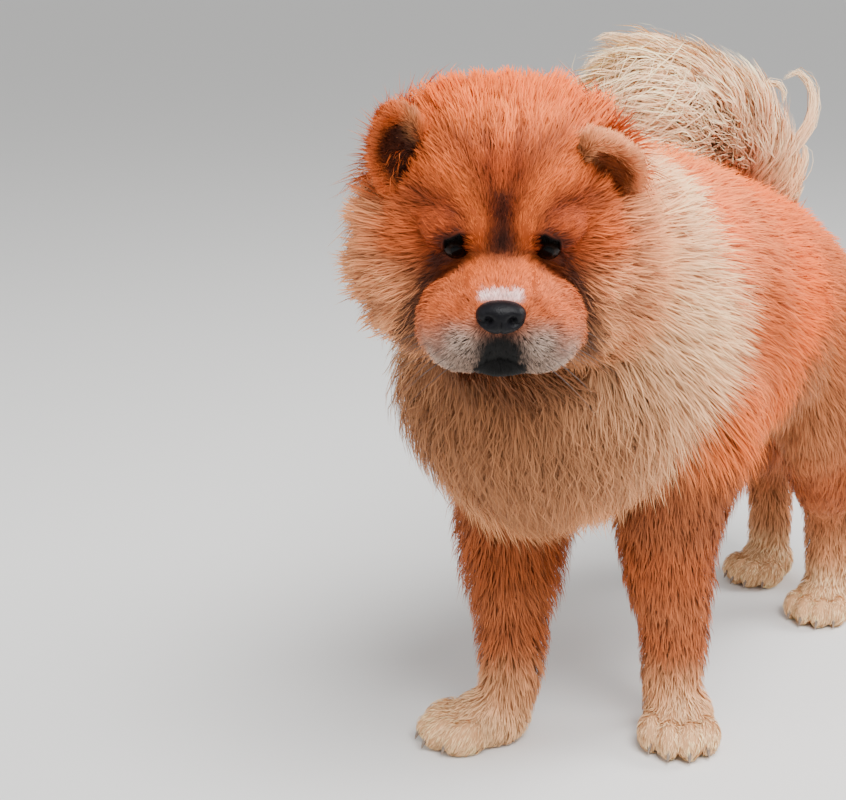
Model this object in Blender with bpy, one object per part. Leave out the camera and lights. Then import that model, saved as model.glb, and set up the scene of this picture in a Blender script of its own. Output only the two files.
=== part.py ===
# A life-size standing chow chow with its head turned to its left and its tail curled over its back.
# Metres, +Z up. The dog faces -Y and its left side is +X. The origin is on the floor, below the
# middle of the whole dog. The solids reach out to the tips of the coat.

import math
import random

import bmesh
import bpy
import numpy as np
from mathutils import Matrix, Vector
from mathutils.bvhtree import BVHTree

# The gap that neighbouring pieces keep.
GAP = 0.0003

# Where each paw stands on the floor (x, y), and how far its toes turn to the dog's left, in degrees.
PAWS = {
    "forepaw_right": ((-0.080, -0.308), -34),
    "forepaw_left": ((0.082, -0.178), 30),
    "hindpaw_right": ((-0.058, 0.290), -4),
    "hindpaw_left": ((0.056, 0.222), 10),
}

# The head: the point midway between the eyes, its turn to the left and its nod downwards.
EYE_LINE = Vector((0.061, -0.478, 0.558))
HEAD_TURN = math.radians(35)
HEAD_NOD = math.radians(16)

# Depth of the coat from the skin to its tips. The cores fill a share of it, the locks the rest.
COAT_TORSO = 0.038
COAT_NECK = 0.058
COAT_THIGH = 0.024
COAT_LEG = 0.008
COAT_TAIL = 0.034
CORE_SHARE = 0.5

# Flesh stations: x, y, z of the centre, half width, half height.
TORSO = [
    (0.004, -0.285, 0.410, 0.060, 0.070),
    (0.004, -0.245, 0.420, 0.090, 0.105),
    (0.002, -0.170, 0.430, 0.104, 0.128),
    (0.000, -0.080, 0.424, 0.110, 0.122),
    (0.000, 0.020, 0.410, 0.100, 0.108),
    (0.000, 0.110, 0.400, 0.084, 0.090),
    (0.000, 0.180, 0.378, 0.070, 0.076),
    (0.000, 0.235, 0.358, 0.048, 0.052),
]
NECK = [
    (0.000, -0.150, 0.445, 0.092, 0.112),
    (0.006, -0.240, 0.470, 0.086, 0.092),
    (0.014, -0.315, 0.508, 0.080, 0.086),
    (0.022, -0.355, 0.530, 0.070, 0.078),
]
CHEST_CENTRE = (-0.022, -0.290, 0.400)
CHEST_SIZE = (0.100, 0.080, 0.096)
TAIL = [
    (-0.010, 0.130, 0.470, 0.026, 0.026),
    (-0.018, 0.142, 0.525, 0.024, 0.024),
    (-0.024, 0.122, 0.570, 0.022, 0.022),
    (-0.028, 0.078, 0.604, 0.020, 0.020),
    (-0.034, 0.026, 0.618, 0.018, 0.018),
    (-0.040, -0.032, 0.618, 0.016, 0.016),
    (-0.044, -0.084, 0.606, 0.012, 0.012),
]
PLUME_CENTRE = (-0.044, -0.032, 0.624)
PLUME_SIZE = (0.042, 0.094, 0.050)
FORELEG_RIGHT = [
    (-0.076, -0.215, 0.360, 0.050, 0.062),
    (-0.090, -0.226, 0.290, 0.046, 0.052),
    (-0.090, -0.238, 0.215, 0.037, 0.042),
    (-0.074, -0.262, 0.120, 0.026, 0.028),
    (-0.062, -0.279, 0.065, 0.025, 0.028),
    (-0.066, -0.290, 0.030, 0.026, 0.030),
]
FORELEG_LEFT = [
    (0.076, -0.195, 0.360, 0.050, 0.062),
    (0.078, -0.194, 0.290, 0.046, 0.052),
    (0.066, -0.191, 0.215, 0.037, 0.042),
    (0.070, -0.176, 0.120, 0.027, 0.028),
    (0.066, -0.169, 0.065, 0.026, 0.028),
    (0.072, -0.172, 0.030, 0.026, 0.030),
]
THIGH_RIGHT = [
    (-0.060, 0.185, 0.380, 0.044, 0.074),
    (-0.074, 0.180, 0.320, 0.044, 0.078),
    (-0.074, 0.205, 0.255, 0.036, 0.060),
    (-0.068, 0.255, 0.195, 0.027, 0.040),
]
SHANK_RIGHT = [
    (-0.070, 0.240, 0.210, 0.028, 0.040),
    (-0.064, 0.298, 0.150, 0.022, 0.028),
    (-0.060, 0.306, 0.100, 0.021, 0.023),
    (-0.058, 0.304, 0.040, 0.024, 0.027),
]
THIGH_LEFT = [
    (0.060, 0.165, 0.380, 0.044, 0.074),
    (0.076, 0.150, 0.320, 0.044, 0.078),
    (0.078, 0.155, 0.255, 0.036, 0.060),
    (0.070, 0.190, 0.195, 0.027, 0.040),
]
SHANK_LEFT = [
    (0.070, 0.175, 0.210, 0.030, 0.042),
    (0.058, 0.226, 0.150, 0.026, 0.030),
    (0.055, 0.236, 0.100, 0.023, 0.025),
    (0.055, 0.236, 0.040, 0.024, 0.027),
]

# The face, in the head's own frame: X to the dog's left, -Y forward, Z up.
EYE_CENTRE = (0.038, -0.0125, 0.000)
EYE_SIZE = 0.0120
LID_WIDTH = 0.0112
LID_HEIGHT = 0.0098
LID_THICKNESS = 0.0030
SOCKET_CENTRE = (0.038, -0.025, -0.002)
SOCKET_SIZE = (0.0135, 0.0120, 0.0110)
NOSE_CENTRE = (0.0, -0.084, -0.027)
NOSE_SIZE = (0.0185, 0.0135, 0.0145)
NOSTRIL_CENTRE = (0.0095, -0.0965, -0.0275)
NOSTRIL_SIZE = (0.0050, 0.0070, 0.0042)
MOUTH_LINE = [
    (0.036, -0.040, -0.089),
    (0.027, -0.062, -0.082),
    (0.013, -0.075, -0.066),
    (0.000, -0.077, -0.062),
]
MOUTH_GROOVE = 0.0022
EAR_CENTRE = (0.088, 0.044, 0.056)
EAR_SIZE = (0.031, 0.016, 0.048)
EAR_CUP_CENTRE = (0.000, -0.013, 0.006)
EAR_CUP_SIZE = (0.020, 0.013, 0.032)
# How far each ear leans forward and outward, in degrees.
EAR_LEAN = {"ear_right": (6, -14), "ear_left": (38, 20)}

# Edges shorter than this are closed up after a cut.
SLIVER = 0.000005

# How finely the blended shapes are joined.
BODY_VOXEL = 0.008
TAIL_VOXEL = 0.006
HEAD_VOXEL = 0.0045
PAW_VOXEL = 0.004

SIDEWAYS = Vector((1, 0, 0))
SIDES = {"left": 1, "right": -1}

# The locks of the long coat. Roots lie in a box, at least the spacing apart. The rise is how far
# the tips stand off the core, and the droop is how far they hang below the line they are combed in.
# Low corner, high corner, spacing, length, width, rise, droop.
LOCK_SETS = {
    "mane_top": ((-0.12, -0.36, 0.54), (0.12, -0.10, 0.72), 0.075, 0.125, 0.070, 0.036, 0.0),
    "mane_side": ((-0.20, -0.38, 0.41), (0.20, -0.14, 0.60), 0.070, 0.130, 0.070, 0.042, 0.008),
    "chest": ((-0.20, -0.44, 0.25), (0.20, -0.24, 0.47), 0.061, 0.120, 0.060, 0.036, 0.010),
    "back": ((-0.10, -0.14, 0.44), (0.10, 0.26, 0.60), 0.084, 0.120, 0.076, 0.021, 0.0),
    "flank": ((-0.20, -0.24, 0.34), (0.20, 0.16, 0.50), 0.084, 0.125, 0.076, 0.022, 0.006),
    "belly": ((-0.20, -0.22, 0.25), (0.20, 0.08, 0.34), 0.071, 0.090, 0.066, 0.020, 0.018),
    "thigh": ((-0.24, 0.00, 0.24), (0.24, 0.40, 0.42), 0.088, 0.095, 0.064, 0.016, 0.0),
    "feather": ((-0.16, -0.24, 0.13), (0.16, -0.12, 0.24), 0.076, 0.058, 0.034, 0.009, 0.0),
}
HEAD_LOCK_SETS = {
    "crown": ((-0.12, 0.010, 0.066), (0.12, 0.14, 0.20), 0.058, 0.052, 0.052, 0.014, 0.0),
    "left_cheek": ((0.05, 0.026, -0.110), (0.16, 0.13, 0.040), 0.060, 0.085, 0.058, 0.036, 0.0),
    "right_cheek": ((-0.16, 0.026, -0.110), (-0.05, 0.13, 0.040), 0.060, 0.085, 0.058, 0.036, 0.0),
}
TAIL_LOCK_SETS = {
    "plume": ((-0.2, -0.3, 0.53), (0.2, 0.3, 0.80), 0.060, 0.110, 0.052, 0.038, 0.0),
}
# The loose curls behind the plume: root, first way, the way it curls, length, width, turn.
CURLS = [
    ((-0.004, 0.118, 0.600), (0.80, 0.60, 0.20), (-0.30, -0.25, 1.0), 0.120, 0.018, 2.5),
    ((0.002, 0.135, 0.570), (0.80, 0.60, 0.10), (0.0, 0.0, 1.0), 0.060, 0.014, 1.6),
    ((0.004, 0.145, 0.545), (0.75, 0.60, -0.40), (0.2, 0.1, 1.0), 0.065, 0.014, 1.9),
]
LOCK_THICKNESS = 0.011
LOCK_SINK = 0.012
LOCK_WANDER = 14

# The way the coat is combed: a place on the dog's left and the direction there. Both are mirrored.
COMBED = [
    ((0.00, -0.25, 0.61), (0.0, 0.85, 0.30)),
    ((0.00, -0.15, 0.60), (0.0, 1.0, 0.05)),
    ((0.00, 0.05, 0.55), (0.0, 1.0, -0.05)),
    ((0.00, 0.17, 0.50), (0.0, 0.9, -0.40)),
    ((0.00, 0.25, 0.42), (0.0, 0.3, -1.0)),
    ((0.13, -0.27, 0.54), (0.3, 0.8, -0.5)),
    ((0.14, -0.15, 0.45), (0.0, 0.85, -0.5)),
    ((0.13, 0.00, 0.42), (0.0, 0.9, -0.45)),
    ((0.11, 0.12, 0.42), (0.0, 0.8, -0.6)),
    ((0.12, -0.10, 0.32), (0.0, 0.5, -0.85)),
    ((0.10, 0.02, 0.29), (0.0, 0.5, -0.85)),
    ((0.00, -0.05, 0.27), (0.0, 0.6, -0.8)),
    ((0.00, -0.42, 0.44), (0.0, -0.1, -1.0)),
    ((0.10, -0.38, 0.40), (0.25, 0.0, -1.0)),
    ((0.15, -0.28, 0.42), (0.15, 0.3, -0.9)),
    ((0.00, -0.38, 0.28), (0.0, 0.2, -1.0)),
    ((0.08, -0.30, 0.27), (0.1, 0.2, -1.0)),
    ((0.11, 0.15, 0.38), (0.0, 0.4, -0.9)),
    ((0.11, 0.18, 0.26), (0.0, 0.5, -0.85)),
    ((0.06, 0.26, 0.36), (0.0, 0.3, -1.0)),
]
HEAD_COMBED = [
    ((0.09, 0.04, 0.00), (0.8, 0.8, -0.1)),
    ((0.08, 0.03, -0.07), (0.6, 0.5, -0.7)),
    ((0.05, 0.02, -0.09), (0.3, 0.4, -0.9)),
    ((0.00, 0.06, 0.11), (0.0, 0.6, 0.8)),
    ((0.06, 0.05, 0.10), (0.4, 0.5, 0.7)),
    ((0.10, 0.08, 0.05), (0.8, 0.8, 0.3)),
]

TAIL_COMBED = [
    ((0.00, -0.11, 0.60), (0.0, -1.0, -0.1)),
    ((0.00, -0.04, 0.67), (0.0, -0.9, 0.4)),
    ((0.00, 0.06, 0.66), (0.0, -0.7, 0.7)),
    ((0.00, 0.13, 0.62), (0.0, 0.1, 1.0)),
    ((0.00, 0.17, 0.56), (0.0, 0.5, 0.9)),
    ((0.04, -0.03, 0.62), (0.6, -0.8, 0.1)),
    ((0.04, 0.08, 0.60), (0.7, -0.3, 0.5)),
    ((0.04, -0.06, 0.58), (0.5, -0.8, -0.3)),
]

# Where the whole is parted into nodes, in the dog's frame: two corners of a box each.
WRIST_LEVEL = 0.052
ELBOW_LEVEL = 0.245
HOCK_LEVEL = 0.185
HIP_TOP = 0.430
LEG_BOXES = {
    "forepaw_right": ((-0.20, -0.45, -0.01), (0.00, -0.22, WRIST_LEVEL)),
    "forepaw_left": ((0.00, -0.30, -0.01), (0.20, -0.08, WRIST_LEVEL)),
    "hindpaw_right": ((-0.20, 0.18, -0.01), (0.00, 0.42, WRIST_LEVEL)),
    "hindpaw_left": ((0.00, 0.12, -0.01), (0.20, 0.35, WRIST_LEVEL)),
    "foreleg_right": ((-0.20, -0.42, WRIST_LEVEL + GAP), (-0.01, -0.10, ELBOW_LEVEL)),
    "foreleg_left": ((0.00, -0.34, WRIST_LEVEL + GAP), (0.20, -0.08, ELBOW_LEVEL)),
    "hock_right": ((-0.20, 0.14, WRIST_LEVEL + GAP), (0.00, 0.42, HOCK_LEVEL)),
    "hock_left": ((0.00, 0.08, WRIST_LEVEL + GAP), (0.20, 0.36, HOCK_LEVEL)),
    "thigh_right": ((-0.24, 0.02, HOCK_LEVEL + GAP), (-0.035, 0.44, HIP_TOP)),
    "thigh_left": ((0.035, 0.00, HOCK_LEVEL + GAP), (0.24, 0.40, HIP_TOP)),
}
# The tail's box lies on the back: its frame's origin and tilt, and its corners in that frame.
TAIL_FRAME = (0.0, 0.17, 0.495)
TAIL_TILT = 21.8
TAIL_BOX = ((-0.2, -0.35, 0.0), (0.2, 0.2, 0.3))
# The plane behind the ruff: where it crosses the middle of the neck, and its tilt.
RUFF_PLANE = (0.0, -0.215, 0.43)
RUFF_TILT = 16
# The plane behind the head and the level below the chin, in the head's frame.
HEAD_BACK = 0.098
HEAD_BOTTOM = -0.116

# Colour, roughness and metallic value of each material.
MATERIALS = {
    "rust_fur": ((0.42, 0.13, 0.035), 0.85, 0.0),
    "cream_fur": ((0.62, 0.38, 0.20), 0.85, 0.0),
    "orange_fur": ((0.50, 0.19, 0.06), 0.85, 0.0),
    "pale_fur": ((0.66, 0.44, 0.27), 0.85, 0.0),
    "nose_skin": ((0.012, 0.012, 0.014), 0.35, 0.0),
    "eye": ((0.010, 0.006, 0.004), 0.08, 0.0),
}
SLOTS = {
    "head": "rust_fur",
    "ear_right": "rust_fur",
    "ear_left": "rust_fur",
    "neck_ruff": "cream_fur",
    "torso": "orange_fur",
    "tail": "pale_fur",
    "nose": "nose_skin",
    "eye_left": "eye",
    "eye_right": "eye",
}


def head_matrix():
    """From the head's own frame (facing -Y, origin midway between the eyes) to the dog's."""
    turn = Matrix.Rotation(HEAD_TURN, 4, "Z") @ Matrix.Rotation(HEAD_NOD, 4, "X")
    return Matrix.Translation(EYE_LINE) @ turn


HEAD = head_matrix()


def new_object(name, data):
    made = bpy.data.objects.new(name, data)
    bpy.context.scene.collection.objects.link(made)
    return made


def object_from(name, work):
    bmesh.ops.triangulate(work, faces=work.faces)
    mesh = bpy.data.meshes.new(name)
    work.to_mesh(mesh)
    work.free()
    return new_object(name, mesh)


def remove(obj):
    bpy.data.objects.remove(obj, do_unlink=True)


def bake_modifiers(obj):
    """Replaces an object's mesh with what its modifiers make of it."""
    graph = bpy.context.evaluated_depsgraph_get()
    graph.update()
    mesh = bpy.data.meshes.new_from_object(obj.evaluated_get(graph))
    obj.modifiers.clear()
    obj.data = mesh
    return obj


def spline(rows, steps):
    """Rows of numbers joined by a smooth curve, with this many steps between neighbours."""
    rows = np.array(rows, float)
    rows = np.vstack([2 * rows[0] - rows[1], rows, 2 * rows[-1] - rows[-2]])
    out = []
    for a, b, c, d in zip(rows, rows[1:], rows[2:], rows[3:]):
        for t in np.arange(steps) / steps:
            bend = (2 * a - 5 * b + 4 * c - d) * t**2 + (3 * b - a - 3 * c + d) * t**3
            out.append(0.5 * (2 * b + (c - a) * t + bend))
    out.append(rows[-2])
    return np.array(out)


def add_tube(work, stations, depth=0.0, sides=20, steps=3, widthways=SIDEWAYS, dome_reach=1.0):
    """Adds a closed tube with domed ends. depth is added to its half width and half height."""
    rows = spline(stations, steps)
    tangents = np.gradient(rows[:, :3], axis=0)
    rings = []
    for i, row in enumerate(rows):
        rings.append((row[:3], tangents[i], row[3] + depth, row[4] + depth))
    dome = [0.45, 0.8, 0.97]
    for end, way in ((0, -1), (-1, 1)):
        centre, tangent, wide, high = rings[end]
        tangent = tangent / np.linalg.norm(tangent)
        for share in dome:
            shrink = math.sqrt(1 - share**2)
            moved = centre + way * tangent * share * dome_reach * min(wide, high)
            cap = (moved, tangent, wide * shrink, high * shrink)
            if way < 0:
                rings.insert(0, cap)
            else:
                rings.append(cap)
    loops = []
    for centre, tangent, wide, high in rings:
        along = Vector(tangent).normalized()
        across = (widthways - widthways.dot(along) * along).normalized()
        upward = along.cross(across)
        loop = []
        for k in range(sides):
            turn = 2 * math.pi * k / sides
            point = Vector(centre) + across * wide * math.cos(turn) + upward * high * math.sin(turn)
            loop.append(work.verts.new(point))
        loops.append(loop)
    for near, far in zip(loops, loops[1:]):
        for k in range(sides):
            n = (k + 1) % sides
            work.faces.new((near[k], near[n], far[n], far[k]))
    work.faces.new(reversed(loops[0]))
    work.faces.new(loops[-1])


def add_ball(work, centre, radii, turn=(0, 0, 0), frame=Matrix(), segments=24):
    """Adds an ellipsoid, turned about X, Y and Z in degrees, in the given frame."""
    turned = Matrix.Rotation(math.radians(turn[2]), 4, "Z")
    turned = turned @ Matrix.Rotation(math.radians(turn[1]), 4, "Y")
    turned = turned @ Matrix.Rotation(math.radians(turn[0]), 4, "X")
    place = frame @ Matrix.Translation(centre) @ turned @ Matrix.Diagonal((*radii, 1))
    bmesh.ops.create_uvsphere(
        work, u_segments=segments, v_segments=segments // 2, radius=1, matrix=place
    )


def blend(name, work, voxel, smoothing, triangles):
    """Fuses overlapping closed shapes into one smooth closed skin of about that many triangles."""
    obj = object_from(name, work)
    remesh = obj.modifiers.new("Fuse", "REMESH")
    remesh.mode = "VOXEL"
    remesh.voxel_size = voxel
    smooth = obj.modifiers.new("Smooth", "SMOOTH")
    smooth.factor = 0.5
    smooth.iterations = smoothing
    bake_modifiers(obj)
    triangulate = obj.modifiers.new("Triangulate", "TRIANGULATE")
    triangulate.min_vertices = 4
    bake_modifiers(obj)
    decimate = obj.modifiers.new("Decimate", "DECIMATE")
    decimate.ratio = min(1, triangles / len(obj.data.polygons))
    decimate.use_collapse_triangulate = True
    return bake_modifiers(obj)


def tidied(obj):
    """Leaves only triangles, without the slivers and doubled corners that a cut can make."""
    work = bmesh.new()
    work.from_mesh(obj.data)
    bmesh.ops.triangulate(work, faces=work.faces, ngon_method="BEAUTY")
    bmesh.ops.dissolve_degenerate(work, edges=work.edges, dist=SLIVER)
    bmesh.ops.triangulate(work, faces=work.faces, ngon_method="BEAUTY")
    work.to_mesh(obj.data)
    work.free()
    return obj


def boolean(obj, operation, other):
    """Joins, cuts or clips obj by another object or by every object of a collection."""
    modifier = obj.modifiers.new("Boolean", "BOOLEAN")
    modifier.operation = operation
    modifier.solver = "MANIFOLD"
    if isinstance(other, bpy.types.Collection):
        modifier.operand_type = "COLLECTION"
        modifier.collection = other
    else:
        modifier.object = other
    return tidied(bake_modifiers(obj))


def copy_of(obj, name):
    made = obj.copy()
    made.data = obj.data.copy()
    made.name = name
    bpy.context.scene.collection.objects.link(made)
    return made


def keep_largest(obj):
    """Keeps only the closed surface of the largest volume."""
    work = bmesh.new()
    work.from_mesh(obj.data)
    work.verts.ensure_lookup_table()
    seen = set()
    bodies = []
    for start in work.verts:
        if start in seen:
            continue
        body = {start}
        todo = [start]
        while todo:
            for edge in todo.pop().link_edges:
                for vert in edge.verts:
                    if vert not in body:
                        body.add(vert)
                        todo.append(vert)
        seen |= body
        faces = {face for vert in body for face in vert.link_faces}
        volume = 0.0
        for face in faces:
            corners = [vert.co for vert in face.verts]
            for b, c in zip(corners[1:], corners[2:]):
                volume += corners[0].dot(b.cross(c)) / 6
        bodies.append((volume, body))
    largest = max(bodies, key=lambda found: found[0])[1]
    loose = [vert for vert in work.verts if vert not in largest]
    bmesh.ops.delete(work, geom=loose, context="VERTS")
    work.to_mesh(obj.data)
    work.free()
    return obj


def box(name, low, high, frame=Matrix()):
    """A box between two corners, in the given frame."""
    low = Vector(low)
    high = Vector(high)
    work = bmesh.new()
    size = Matrix.Diagonal((*(high - low), 1))
    place = frame @ Matrix.Translation((low + high) / 2) @ size
    bmesh.ops.create_cube(work, size=1, matrix=place)
    return object_from(name, work)


def part_off(rest, name, low, high, frame=Matrix()):
    """Parts what lies in a box off the rest, as a node of its own, with the gap between them."""
    piece = copy_of(rest, name)
    inside = box("inside", low, high, frame)
    boolean(piece, "INTERSECT", inside)
    remove(inside)
    keep_largest(piece)
    grown = Vector((GAP, GAP, GAP))
    around = box("around", Vector(low) - grown, Vector(high) + grown, frame)
    boolean(rest, "DIFFERENCE", around)
    remove(around)
    return piece


def mirrored(point, side):
    return (point[0] * side, point[1], point[2])


def grown(values, depth):
    return tuple(value + depth for value in values)


def body_core():
    """The torso, neck and legs as one smooth mass."""
    work = bmesh.new()
    add_tube(work, TORSO, COAT_TORSO * CORE_SHARE)
    add_tube(work, NECK, COAT_NECK * CORE_SHARE, dome_reach=0.3)
    add_ball(work, CHEST_CENTRE, grown(CHEST_SIZE, COAT_NECK * CORE_SHARE))
    for thigh in (THIGH_RIGHT, THIGH_LEFT):
        add_tube(work, thigh, COAT_THIGH * CORE_SHARE)
    for leg in (FORELEG_RIGHT, FORELEG_LEFT, SHANK_RIGHT, SHANK_LEFT):
        add_tube(work, leg, COAT_LEG)
    return blend("body", work, BODY_VOXEL, 5, 1360)


def tail_core():
    """The tail curled over the back, with the inner half of its plume."""
    work = bmesh.new()
    add_tube(work, TAIL, COAT_TAIL * CORE_SHARE)
    add_ball(work, PLUME_CENTRE, PLUME_SIZE)
    return blend("tail", work, TAIL_VOXEL, 3, 260)


def head_core():
    """The head in its own frame: skull, cheeks, jowls, brows, muzzle, lips and chin."""
    work = bmesh.new()
    add_ball(work, (0, 0.058, 0.034), (0.090, 0.090, 0.072), frame=HEAD)
    add_ball(work, (0, 0.048, 0.058), (0.076, 0.070, 0.046), frame=HEAD)
    for side in (-1, 1):
        add_ball(work, (0.068 * side, 0.056, -0.022), (0.047, 0.060, 0.068), frame=HEAD)
        add_ball(work, (0.070 * side, 0.062, -0.064), (0.044, 0.050, 0.046), frame=HEAD)
        add_ball(
            work, (0.034 * side, -0.002, 0.024), (0.030, 0.022, 0.017), (0, 18 * side, 0), HEAD
        )
        add_ball(work, (0.030 * side, -0.048, -0.048), (0.034, 0.040, 0.038), frame=HEAD)
        add_ball(work, (0.014 * side, -0.058, -0.036), (0.032, 0.031, 0.034), frame=HEAD)
    add_ball(work, (0, -0.030, -0.022), (0.036, 0.050, 0.026), frame=HEAD)
    add_ball(work, (0, -0.052, -0.076), (0.030, 0.034, 0.016), frame=HEAD)
    add_ball(work, (0, 0.000, -0.055), (0.060, 0.060, 0.040), frame=HEAD)
    return blend("head_mass", work, HEAD_VOXEL, 3, 1460)


def paw(name):
    """One paw: pad and four toes, standing flat on the floor."""
    (x, y), turn = PAWS[name]
    size = 1.0 if name.startswith("fore") else 0.92
    frame = Matrix.Translation((x, y, 0)) @ Matrix.Rotation(math.radians(turn), 4, "Z")
    frame = frame @ Matrix.Scale(size, 4)
    work = bmesh.new()
    add_ball(work, (0, 0.008, 0.022), (0.036, 0.044, 0.030), frame=frame)
    for toe_x, toe_y in ((-0.028, -0.028), (-0.010, -0.042), (0.010, -0.042), (0.028, -0.028)):
        add_ball(work, (toe_x, toe_y, 0.017), (0.0145, 0.026, 0.021), frame=frame)
    return blend(name, work, PAW_VOXEL, 2, 180)


def eye(side, extra=0.0):
    work = bmesh.new()
    radius = EYE_SIZE + extra
    centre = mirrored(EYE_CENTRE, SIDES[side])
    add_ball(work, centre, (radius, radius, radius), frame=HEAD, segments=12)
    return object_from("eye_" + side, work)


def nose(extra=0.0):
    work = bmesh.new()
    add_ball(work, NOSE_CENTRE, grown(NOSE_SIZE, extra), (-12, 0, 0), HEAD, 14)
    return object_from("nose", work)


def socket(side):
    work = bmesh.new()
    add_ball(work, mirrored(SOCKET_CENTRE, side), SOCKET_SIZE, frame=HEAD, segments=12)
    return object_from("socket", work)


def nostril(side):
    work = bmesh.new()
    centre = mirrored(NOSTRIL_CENTRE, side)
    add_ball(work, centre, NOSTRIL_SIZE, (0, 20 * side, -25 * side), HEAD, 12)
    return object_from("nostril", work)


def combing(guides, frame=Matrix()):
    """Both sides' guides, placed in the dog's frame: their points and their directions."""
    places = []
    ways = []
    for place, way in guides:
        for side in (1, -1):
            places.append(frame @ Vector(mirrored(place, side)))
            ways.append(frame.to_3x3() @ Vector(mirrored(way, side)).normalized())
    return np.array(places), np.array(ways)


def combed_way(combed, point, normal):
    """The direction of the coat at a point: nearby guides weigh most. It lies along the skin."""
    places, ways = combed
    weights = 1 / (np.sum((places - np.array(point)) ** 2, axis=1) + 0.0004) ** 1.5
    way = Vector(weights @ ways)
    return (way - way.dot(normal) * normal).normalized()


def spread_roots(core, inside, spacing, chance, taken):
    """Points on the core, evenly spread by chance, that are inside a region and not too close."""
    mesh = core.data
    mesh.calc_loop_triangles()
    triangles = [tri for tri in mesh.loop_triangles if inside(tri.center)]
    areas = [tri.area for tri in triangles]
    roots = []
    for tri in chance.choices(triangles, areas, k=60 * len(triangles)):
        a, b, c = (mesh.vertices[i].co for i in tri.vertices)
        u, v = sorted((chance.random(), chance.random()))
        point = a * u + b * (v - u) + c * (1 - v)
        if not inside(point):
            continue
        if all((point - other).length > spacing for other in taken):
            taken.append(point)
            roots.append(point)
    return roots


def add_lock(name, tree, root, combed, sizes, chance, into):
    """One flat, tapered lock that follows the core and stands off it towards its tip."""
    length, width, rise, droop = sizes
    length *= chance.uniform(0.85, 1.2)
    width *= chance.uniform(0.85, 1.15)
    rise *= chance.uniform(0.8, 1.15)
    wander = math.radians(chance.uniform(-LOCK_WANDER, LOCK_WANDER))
    shares = (0.0, 0.32, 0.66, 1.0)
    heights = (-LOCK_SINK, 0.30 * rise, 0.78 * rise, rise)
    widths = (0.80, 1.0, 0.68, 0.0)
    point, normal = tree.find_nearest(root)[:2]
    stations = [(point, normal)]
    for near, far in zip(shares, shares[1:]):
        way = combed_way(combed, point, normal)
        across = normal.cross(way)
        step = (way * math.cos(wander) + across * math.sin(wander)) * length * (far - near)
        found = tree.find_nearest(point + step)
        if (found[0] - point - step).length > 0.03:
            return None
        point, normal = found[0], found[1]
        stations.append((point, normal))
    centres = []
    for (place, upward), height, share in zip(stations, heights, shares):
        centres.append(place + upward * height + Vector((0, 0, -droop * share**2)))
    uppers = [upward for _, upward in stations]
    return blade(name, centres, uppers, [width * share for share in widths], into)


def blade(name, centres, uppers, widths, into):
    """A closed blade through the centres: flat below, ridged above, pointed at its last centre."""
    work = bmesh.new()
    rings = []
    last = len(centres) - 1
    for i in range(last):
        along = (centres[i + 1] - centres[max(i - 1, 0)]).normalized()
        across = along.cross(uppers[i]).normalized()
        upward = across.cross(along)
        half = across * widths[i] / 2
        ridge = upward * LOCK_THICKNESS * min(1, 4 * widths[i] / widths[0] - 2.2)
        corners = (centres[i] - half, centres[i] + half, centres[i] + ridge)
        rings.append([work.verts.new(corner) for corner in corners])
    tip = work.verts.new(centres[last])
    work.faces.new(rings[0])
    for near, far in zip(rings, rings[1:]):
        for k in range(3):
            n = (k + 1) % 3
            work.faces.new((near[k], far[k], far[n], near[n]))
    for k in range(3):
        work.faces.new((rings[-1][k], tip, rings[-1][(k + 1) % 3]))
    bmesh.ops.recalc_face_normals(work, faces=work.faces)
    obj = object_from(name, work)
    bpy.context.scene.collection.objects.unlink(obj)
    into.objects.link(obj)
    return obj


def add_curl(name, curl, into):
    """A loose lock that leaves the coat and curls through an arc."""
    root, way, bend, length, width, turn = curl
    way = Vector(way).normalized()
    bend = (Vector(bend) - Vector(bend).dot(way) * way).normalized()
    centres = []
    uppers = []
    for i in range(7):
        angle = turn * i / 6
        out = way * math.sin(angle) + bend * (1 - math.cos(angle))
        centres.append(Vector(root) + out * length / turn)
        uppers.append(bend * math.cos(angle) - way * math.sin(angle))
    blade(name, centres, uppers, [width, width, width, width * 0.9, width * 0.75, width * 0.6], into)


def grow_locks(core, rows, combed, seed, frame=Matrix(), taken=None, curls=()):
    """Sets locks all over the core's regions and fuses them with it in one union."""
    chance = random.Random(seed)
    group = bpy.data.collections.new("locks")
    bpy.context.scene.collection.children.link(group)
    tree = BVHTree.FromObject(core, bpy.context.evaluated_depsgraph_get())
    back = frame.inverted()
    taken = [] if taken is None else taken
    for name, (low, high, spacing, *sizes) in rows.items():

        def inside(point):
            return all(a < c < b for a, b, c in zip(low, high, back @ point))

        for root in spread_roots(core, inside, spacing, chance, taken):
            add_lock(name, tree, root, combed, sizes, chance, group)
    for curl in curls:
        add_curl("curl", curl, group)
    print(core.name, len(group.objects), "locks")
    boolean(core, "UNION", group)
    for lock in list(group.objects):
        remove(lock)
    bpy.data.collections.remove(group)
    return keep_largest(core)


def lids(side):
    """A closed ring of an almond shape that frames the eyeball."""
    steps = 14
    sides = 4
    work = bmesh.new()
    loops = []
    centre = Vector(mirrored(EYE_CENTRE, side))
    for i in range(steps):
        turn = 2 * math.pi * i / steps
        out = Vector((math.cos(turn), 0, math.sin(turn)))
        x = LID_WIDTH * math.cos(turn)
        z = LID_HEIGHT * math.sin(turn) * (1 - 0.25 * abs(math.cos(turn)))
        reach = math.sqrt(max(EYE_SIZE**2 - x * x - z * z, 0))
        middle = centre + Vector((x, -reach, z))
        loop = []
        for k in range(sides):
            around = 2 * math.pi * k / sides
            way = out * math.cos(around) + Vector((0, -1, 0)) * math.sin(around)
            loop.append(work.verts.new(HEAD @ (middle + way * LID_THICKNESS)))
        loops.append(loop)
    for i, near in enumerate(loops):
        far = loops[(i + 1) % steps]
        for k in range(sides):
            n = (k + 1) % sides
            work.faces.new((near[k], far[k], far[n], near[n]))
    bmesh.ops.recalc_face_normals(work, faces=work.faces)
    return object_from("lids", work)


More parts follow.
